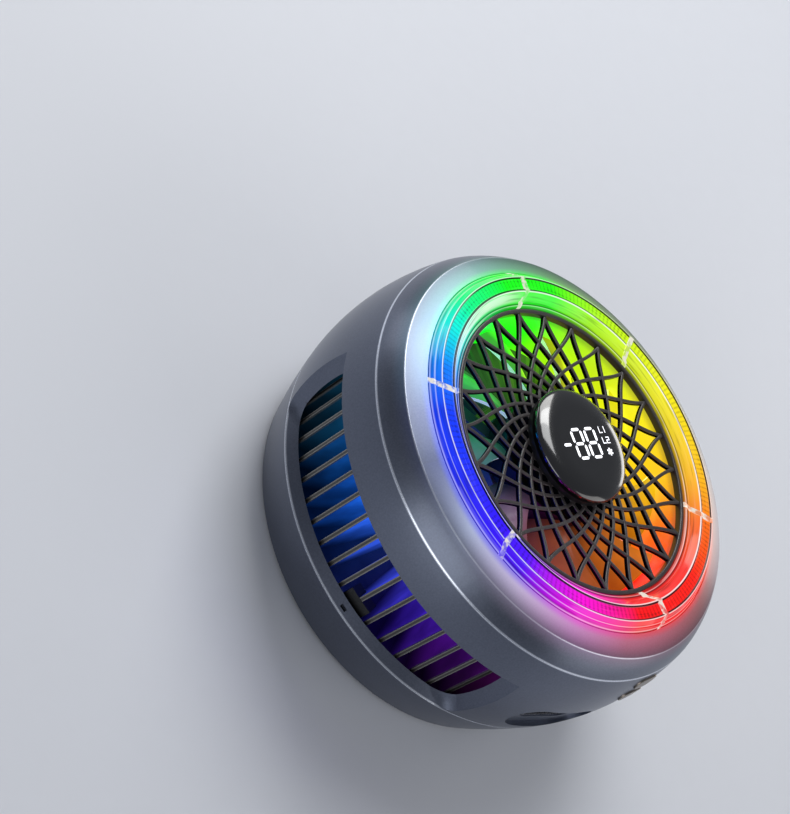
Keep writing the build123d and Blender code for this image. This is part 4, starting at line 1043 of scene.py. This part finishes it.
def blade_sheets():
    """A blade's upper and lower sheet on a grid. Across a blade the chord runs from minus to plus
    half, its pitch falls from root to tip, and it is arched most at its middle."""
    outward = np.linspace(0, 1, BLADE_ROWS)[:, None]
    chord_share = np.linspace(-0.5, 0.5, BLADE_COLUMNS)[None, :]
    radius = HUB_RADIUS - BLADE_SINK + (BLADE_TIP - HUB_RADIUS + BLADE_SINK) * outward
    chord = BLADE_CHORD + BLADE_WIDENING * outward ** 0.8
    pitch = np.radians(BLADE_PITCH - BLADE_FLATTENING * outward)
    sweep = np.radians(BLADE_SWEEP) * outward ** 1.5
    arch = BLADE_ARCH * chord * (1 - (2 * chord_share) ** 2)
    along = chord * chord_share
    tangent = along * np.cos(pitch) - arch * np.sin(pitch)
    rise = along * np.sin(pitch) + arch * np.cos(pitch)
    height = np.clip(BLADE_MIDDLE + rise, ROTOR_BOTTOM + BLADE_CLEARANCE, ROTOR_TOP - BLADE_CLEARANCE)
    return [polar(radius, tangent / radius + sweep, height + side * BLADE_HALF_THICKNESS).reshape(-1, 3)
            for side in (1, -1)]


def blade():
    """One blade as a closed solid: two sheets and the narrow band between their borders. Returns its
    points, its faces and each face's material, which is one on the band."""
    rows, columns = BLADE_ROWS, BLADE_COLUMNS
    count = rows * columns
    sheet = grid_faces(rows, columns)
    border = np.concatenate([
        np.arange(columns), np.arange(1, rows) * columns + columns - 1,
        (rows - 1) * columns + np.arange(columns - 2, -1, -1), np.arange(rows - 2, 0, -1) * columns,
    ])
    around = np.roll(border, -1)
    edge = np.stack([border, around, around + count, border + count], axis=-1)
    faces = np.concatenate([sheet, sheet[:, ::-1] + count, edge])
    return np.concatenate(blade_sheets()), faces, [0] * 2 * len(sheet) + [1] * len(edge)


class COOLER_OT_fan(bpy.types.Operator):
    """Build the fan's hub and its arched blades, which turn with the rotor, and finish the motor"""

    bl_idname = "cooler.fan"
    bl_label = "Fan"

    def execute(self, context):
        count = context.scene.cooler_sizes.blade_count
        points, faces, kinds = blade()
        parts = []
        for index in range(count):
            angle = FULL_TURN / count * index
            turn = [[math.cos(angle), math.sin(angle), 0], [-math.sin(angle), math.cos(angle), 0],
                    [0, 0, 1]]
            parts.append((points @ turn, faces))
        points, faces = joined(parts)
        materials = [material("blade plastic", blade_plastic), material("blade edge", blade_edge_plastic)]
        blades = add_piece("fan_blades", points, faces, "rotor", materials,
                           face_materials=kinds * count)
        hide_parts("fan_rotor")
        inner = HUB_RADIUS - HUB_WALL
        corners = [(inner, ROTOR_BOTTOM), (HUB_RADIUS, ROTOR_BOTTOM), (HUB_RADIUS, ROTOR_TOP),
                   (0.0, ROTOR_TOP), (0.0, ROTOR_TOP - HUB_WALL), (inner, ROTOR_TOP - HUB_WALL),
                   (inner, ROTOR_BOTTOM + HUB_CUT)]
        points, faces = lathe(rounded(corners, HUB_ROUNDING))
        add_piece("fan_hub", points, faces, "rotor", [plain("hub plastic")])
        dress_plainly((
            ("rotor_yoke", "yoke steel"), ("rotor_magnet", "ferrite"), ("shaft", "shaft steel"),
            ("bearing", "bearing brass"), ("stator_core", "stator steel"),
            ("stator_windings", "winding copper"), ("motor_board", "circuit board"),
        ))
        return {"FINISHED"}


# The dome, and its underside: a hollow, and an edge that draws in and up to the foot of the curve
DOME_RADIUS = 8.17
DOME_BOTTOM = 31.65
DOME_TOP = 33.6
MARK_RISE = 0.02
HOLLOW_MARGIN = 1.3
HOLLOW_DEPTH = 0.6
DRAW_IN = 0.9
DRAW_UP = 0.7
UNDER_ROUNDING = 0.2
CURVE_FOOT = 0.85
CURVE_STEPS = 20
DOME_STEPS = 256


class COOLER_OT_display(bpy.types.Operator):
    """Build the glossy dome, and finish the display's lit marks and its cup"""

    bl_idname = "cooler.display"
    bl_label = "Display"

    def execute(self, context):
        sizes = context.scene.cooler_sizes
        top = DOME_TOP - MARK_RISE
        foot = DOME_BOTTOM + CURVE_FOOT
        inner = DOME_RADIUS - HOLLOW_MARGIN
        corners = [(0.0, DOME_BOTTOM + HOLLOW_DEPTH), (inner, DOME_BOTTOM + HOLLOW_DEPTH),
                   (inner, DOME_BOTTOM), (DOME_RADIUS - DRAW_IN, DOME_BOTTOM),
                   (DOME_RADIUS, DOME_BOTTOM + DRAW_UP)]
        flat = DOME_RADIUS - sizes.dome_rounding / MM
        turn = np.linspace(0, math.pi / 2, CURVE_STEPS)[:, None]
        curve = np.concatenate([flat + (DOME_RADIUS - flat) * np.cos(turn),
                                foot + (top - foot) * np.sin(turn)], axis=1)
        profile = np.concatenate([rounded(corners, UNDER_ROUNDING), curve, [(0.0, top)]])
        # The underside takes the near-black finish: painted shade
        under = np.repeat((profile[1:, 1] < foot - 0.05).astype(int), DOME_STEPS)
        points, faces = lathe(profile, steps=DOME_STEPS, closed=False)
        dome = add_piece("glossy_dome", points, faces, "cooler",
                         [plain("dome black"), plain("painted shade black")], face_materials=under)
        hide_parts("dome")
        for name in ("display_numbers", "display_marks"):
            dress(name, material("display light", display_light))
        dress_plainly((("display_cup", "black plastic"), ("display_board", "circuit board")))
        return {"FINISHED"}


# The soft pieces of the rear face
PAD_RADIUS = 16.6
PAD_TOP = 0.8
PAD_ROUNDING = 0.3
GRIP_INNER = 19.6
GRIP_OUTER = 25.8
GRIP_TOP = 0.4
GRIP_ROUNDING = 0.14
GASKET_HALF_HOLE = 14.3
GASKET_RADIUS = 21.25
GASKET_BOTTOM = 2.85
GASKET_TOP = 5.95
GASKET_RIM = 0.25


def foam_gasket():
    """A disc with a square hole. At each angle a point runs from the square's side, at half its side
    over the larger of cosine and sine, out to the disc's edge, and round over both rims."""
    angles = np.linspace(0, FULL_TURN, TURN_STEPS, endpoint=False) + math.pi / 4
    square = GASKET_HALF_HOLE / np.maximum(np.abs(np.cos(angles)), np.abs(np.sin(angles)))
    disc = np.full(TURN_STEPS, GASKET_RADIUS)
    low, high, rim = GASKET_BOTTOM, GASKET_TOP, GASKET_RIM
    lines = ((square, low + rim), (square + rim, low), (disc - rim, low), (disc, low + rim),
             (disc, high - rim), (disc - rim, high), (square + rim, high), (square, high - rim))
    points = np.concatenate([polar(radius, angles, height) for radius, height in lines])
    faces = grid_faces(len(lines), TURN_STEPS, wrap_rows=True, wrap_columns=True)
    return add_piece("soft_gasket", points, faces, "cooler", [plain("gasket foam")])


class COOLER_OT_rear(bpy.types.Operator):
    """Build the rear pad, grip ring and foam gasket, and finish the rear face"""

    bl_idname = "cooler.rear"
    bl_label = "Rear face"

    def execute(self, context):
        corners = [(0.0, 0.0), (PAD_RADIUS, 0.0), (PAD_RADIUS, PAD_TOP), (0.0, PAD_TOP)]
        points, faces = lathe(rounded(corners, PAD_ROUNDING), closed=False)
        made = add_piece("silicone_pad", points, faces, "cooler", [plain("pad silicone")])
        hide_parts("contact_pad")
        points, faces = lathe(rounded_ring(GRIP_INNER, GRIP_OUTER, 0.0, GRIP_TOP, GRIP_ROUNDING))
        made = add_piece("rubber_grip_ring", points, faces, "cooler",
                         [plain("grip rubber")])
        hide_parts("grip_ring")
        made = foam_gasket()
        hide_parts("foam_gasket")
        dress_plainly((
            ("rear_cover", "black plastic"), ("rear_screws", "screw steel"),
            ("magnets", "magnet plating"), ("magnet_yoke", "yoke steel"),
            ("cold_plate", "machined aluminium"), ("cold_ceramic", "white ceramic"),
            ("thermo_pellets", "pellet alloy"), ("hot_ceramic", "white ceramic"),
            ("sink_screws", "screw steel"), ("frame_screws", "screw steel"),
        ))
        return {"FINISHED"}


class COOLER_OT_boards(bpy.types.Operator):
    """Finish the boards and what is on them"""

    bl_idname = "cooler.boards"
    bl_label = "Boards"

    def execute(self, context):
        dress_plainly((
            ("control_board", "circuit board"), ("board_standoffs", "black plastic"),
            ("board_screws", "screw steel"), ("control_chip", "chip black"),
            ("switch_board", "circuit board"), ("switches", "chip black"),
        ))
        return {"FINISHED"}


# The camera of the photograph, in metres: its place, and its right and upper direction
CAMERA_PLACE = (-0.18904, -0.0512, 0.17412)
CAMERA_RIGHT = (0.6967, -0.326, 0.639)
CAMERA_UP = (0.0409, 0.9074, 0.4183)
CAMERA_LENS = 80.56

# Name, place and target in metres, size, power in watts, colour
LAMPS = (
    ("back_lamp", (0.136, 0.306, 0.301), (0, 0, 0.02), 0.28, 0.9, (1.0, 0.99, 0.97)),
    ("top_lamp", (0.12, 0.21, 0.42), (0, 0, 0.02), 0.24, 0.7, (0.98, 0.99, 1.0)),
    ("left_lamp", (-0.46, -0.195, 0.12), (0, 0, 0.01), 0.36, 0.9, (0.98, 0.99, 1.0)),
    ("low_lamp", (-0.078, 0.443, 0.085), (0, 0, 0.02), 0.16, 0.14, (0.97, 0.98, 1.0)),
    ("front_lamp", (0.2, -0.36, 0.16), (0, 0, 0.02), 0.4, 0.6, (1.0, 0.98, 0.96)),
    ("rim_lamp", (0.38, 0.03, 0.06), (0, 0, 0.03), 0.16, 0.2, (1.0, 0.98, 0.95)),
)

# The floor's half side and its gap under the object in metres, and the world's colour and strength
FLOOR_HALF = 1.5
FLOOR_GAP = 0.00002
WORLD_COLOUR = (0.86, 0.9, 1.0)
WORLD_STRENGTH = 0.2


def add_camera(scene):
    """The camera of the photograph, its directions squared to each other."""
    camera = add_object("camera", bpy.data.cameras.new("camera"))
    right, up = Vector(CAMERA_RIGHT).normalized(), Vector(CAMERA_UP).normalized()
    back = right.cross(up).normalized()
    up = back.cross(right)
    turn = Matrix((right, up, back)).transposed()
    camera.matrix_world = Matrix.Translation(CAMERA_PLACE) @ turn.to_4x4()
    camera.data.lens = CAMERA_LENS
    camera.data.sensor_width = 36
    camera.data.clip_start = 0.01
    scene.camera = camera


def add_lamp(name, place, target, size, power, colour):
    """A soft square lamp that looks at a target."""
    data = bpy.data.lights.new(name, "AREA")
    data.size = size
    data.energy = power
    data.color = colour
    lamp = add_object(name, data)
    look = Vector(target) - Vector(place)
    lamp.matrix_world = Matrix.Translation(place) @ look.to_track_quat("-Z", "Y").to_matrix().to_4x4()


def add_floor():
    """A pale floor with a faint grain, just under the object."""
    corners = [(x * FLOOR_HALF, y * FLOOR_HALF, -FLOOR_GAP) for x, y in ((-1, -1), (1, -1), (1, 1), (-1, 1))]
    mesh = bpy.data.meshes.new("floor")
    mesh.from_pydata(corners, [], [(0, 1, 2, 3)])
    floor = add_object("floor", mesh)
    mesh.materials.append(material("floor", floor_paint))


def floor_paint(name):
    """Pale matt paint."""
    finish(name, to_linear((214, 217, 224)), 0.55, shade=0.02, grain=300.0, patch=3.0)


def add_world(scene):
    """An even pale world."""
    world = bpy.data.worlds.new("world")
    world.use_nodes = True
    background = world.node_tree.nodes["Background"]
    feed(world.node_tree, WORLD_COLOUR, background.inputs["Color"])
    feed(world.node_tree, WORLD_STRENGTH, background.inputs["Strength"])
    scene.world = world


class COOLER_OT_stage(bpy.types.Operator):
    """Set the floor, the lamps, the world and the camera"""

    bl_idname = "cooler.stage"
    bl_label = "Stage"

    def execute(self, context):
        scene = context.scene
        scene.view_settings.view_transform = "Standard"
        add_floor()
        add_world(scene)
        for lamp in LAMPS:
            add_lamp(*lamp)
        add_camera(scene)
        return {"FINISHED"}


OPERATORS = (
    COOLER_OT_housing, COOLER_OT_heat_sink, COOLER_OT_lens, COOLER_OT_dividers, COOLER_OT_lights,
    COOLER_OT_grille, COOLER_OT_fan, COOLER_OT_display, COOLER_OT_rear, COOLER_OT_boards, COOLER_OT_stage,
)


class COOLER_PT_panel(bpy.types.Panel):
    """The cooler's settings and its pieces"""

    bl_label = "Phone cooling fan"
    bl_idname = "COOLER_PT_panel"
    bl_space_type = "VIEW_3D"
    bl_region_type = "UI"
    bl_category = "Cooler"

    def draw(self, context):
        for settings in (context.scene.cooler_sizes, context.scene.cooler_colours):
            box = self.layout.box()
            for name in settings.bl_rna.properties.keys():
                if name not in ("rna_type", "name"):
                    box.prop(settings, name)
        for operator in OPERATORS:
            self.layout.operator(operator.bl_idname)


CLASSES = (CoolerSizes, CoolerColours, *OPERATORS, COOLER_PT_panel)


def register():
    for made in CLASSES:
        bpy.utils.register_class(made)
    bpy.types.Scene.cooler_sizes = PointerProperty(type=CoolerSizes)
    bpy.types.Scene.cooler_colours = PointerProperty(type=CoolerColours)


def unregister():
    del bpy.types.Scene.cooler_colours
    del bpy.types.Scene.cooler_sizes
    for made in reversed(CLASSES):
        bpy.utils.unregister_class(made)


def main():
    register()
    for operator in OPERATORS:
        family, name = operator.bl_idname.split(".")
        getattr(getattr(bpy.ops, family), name)()


if __name__ == "__main__":
    main()
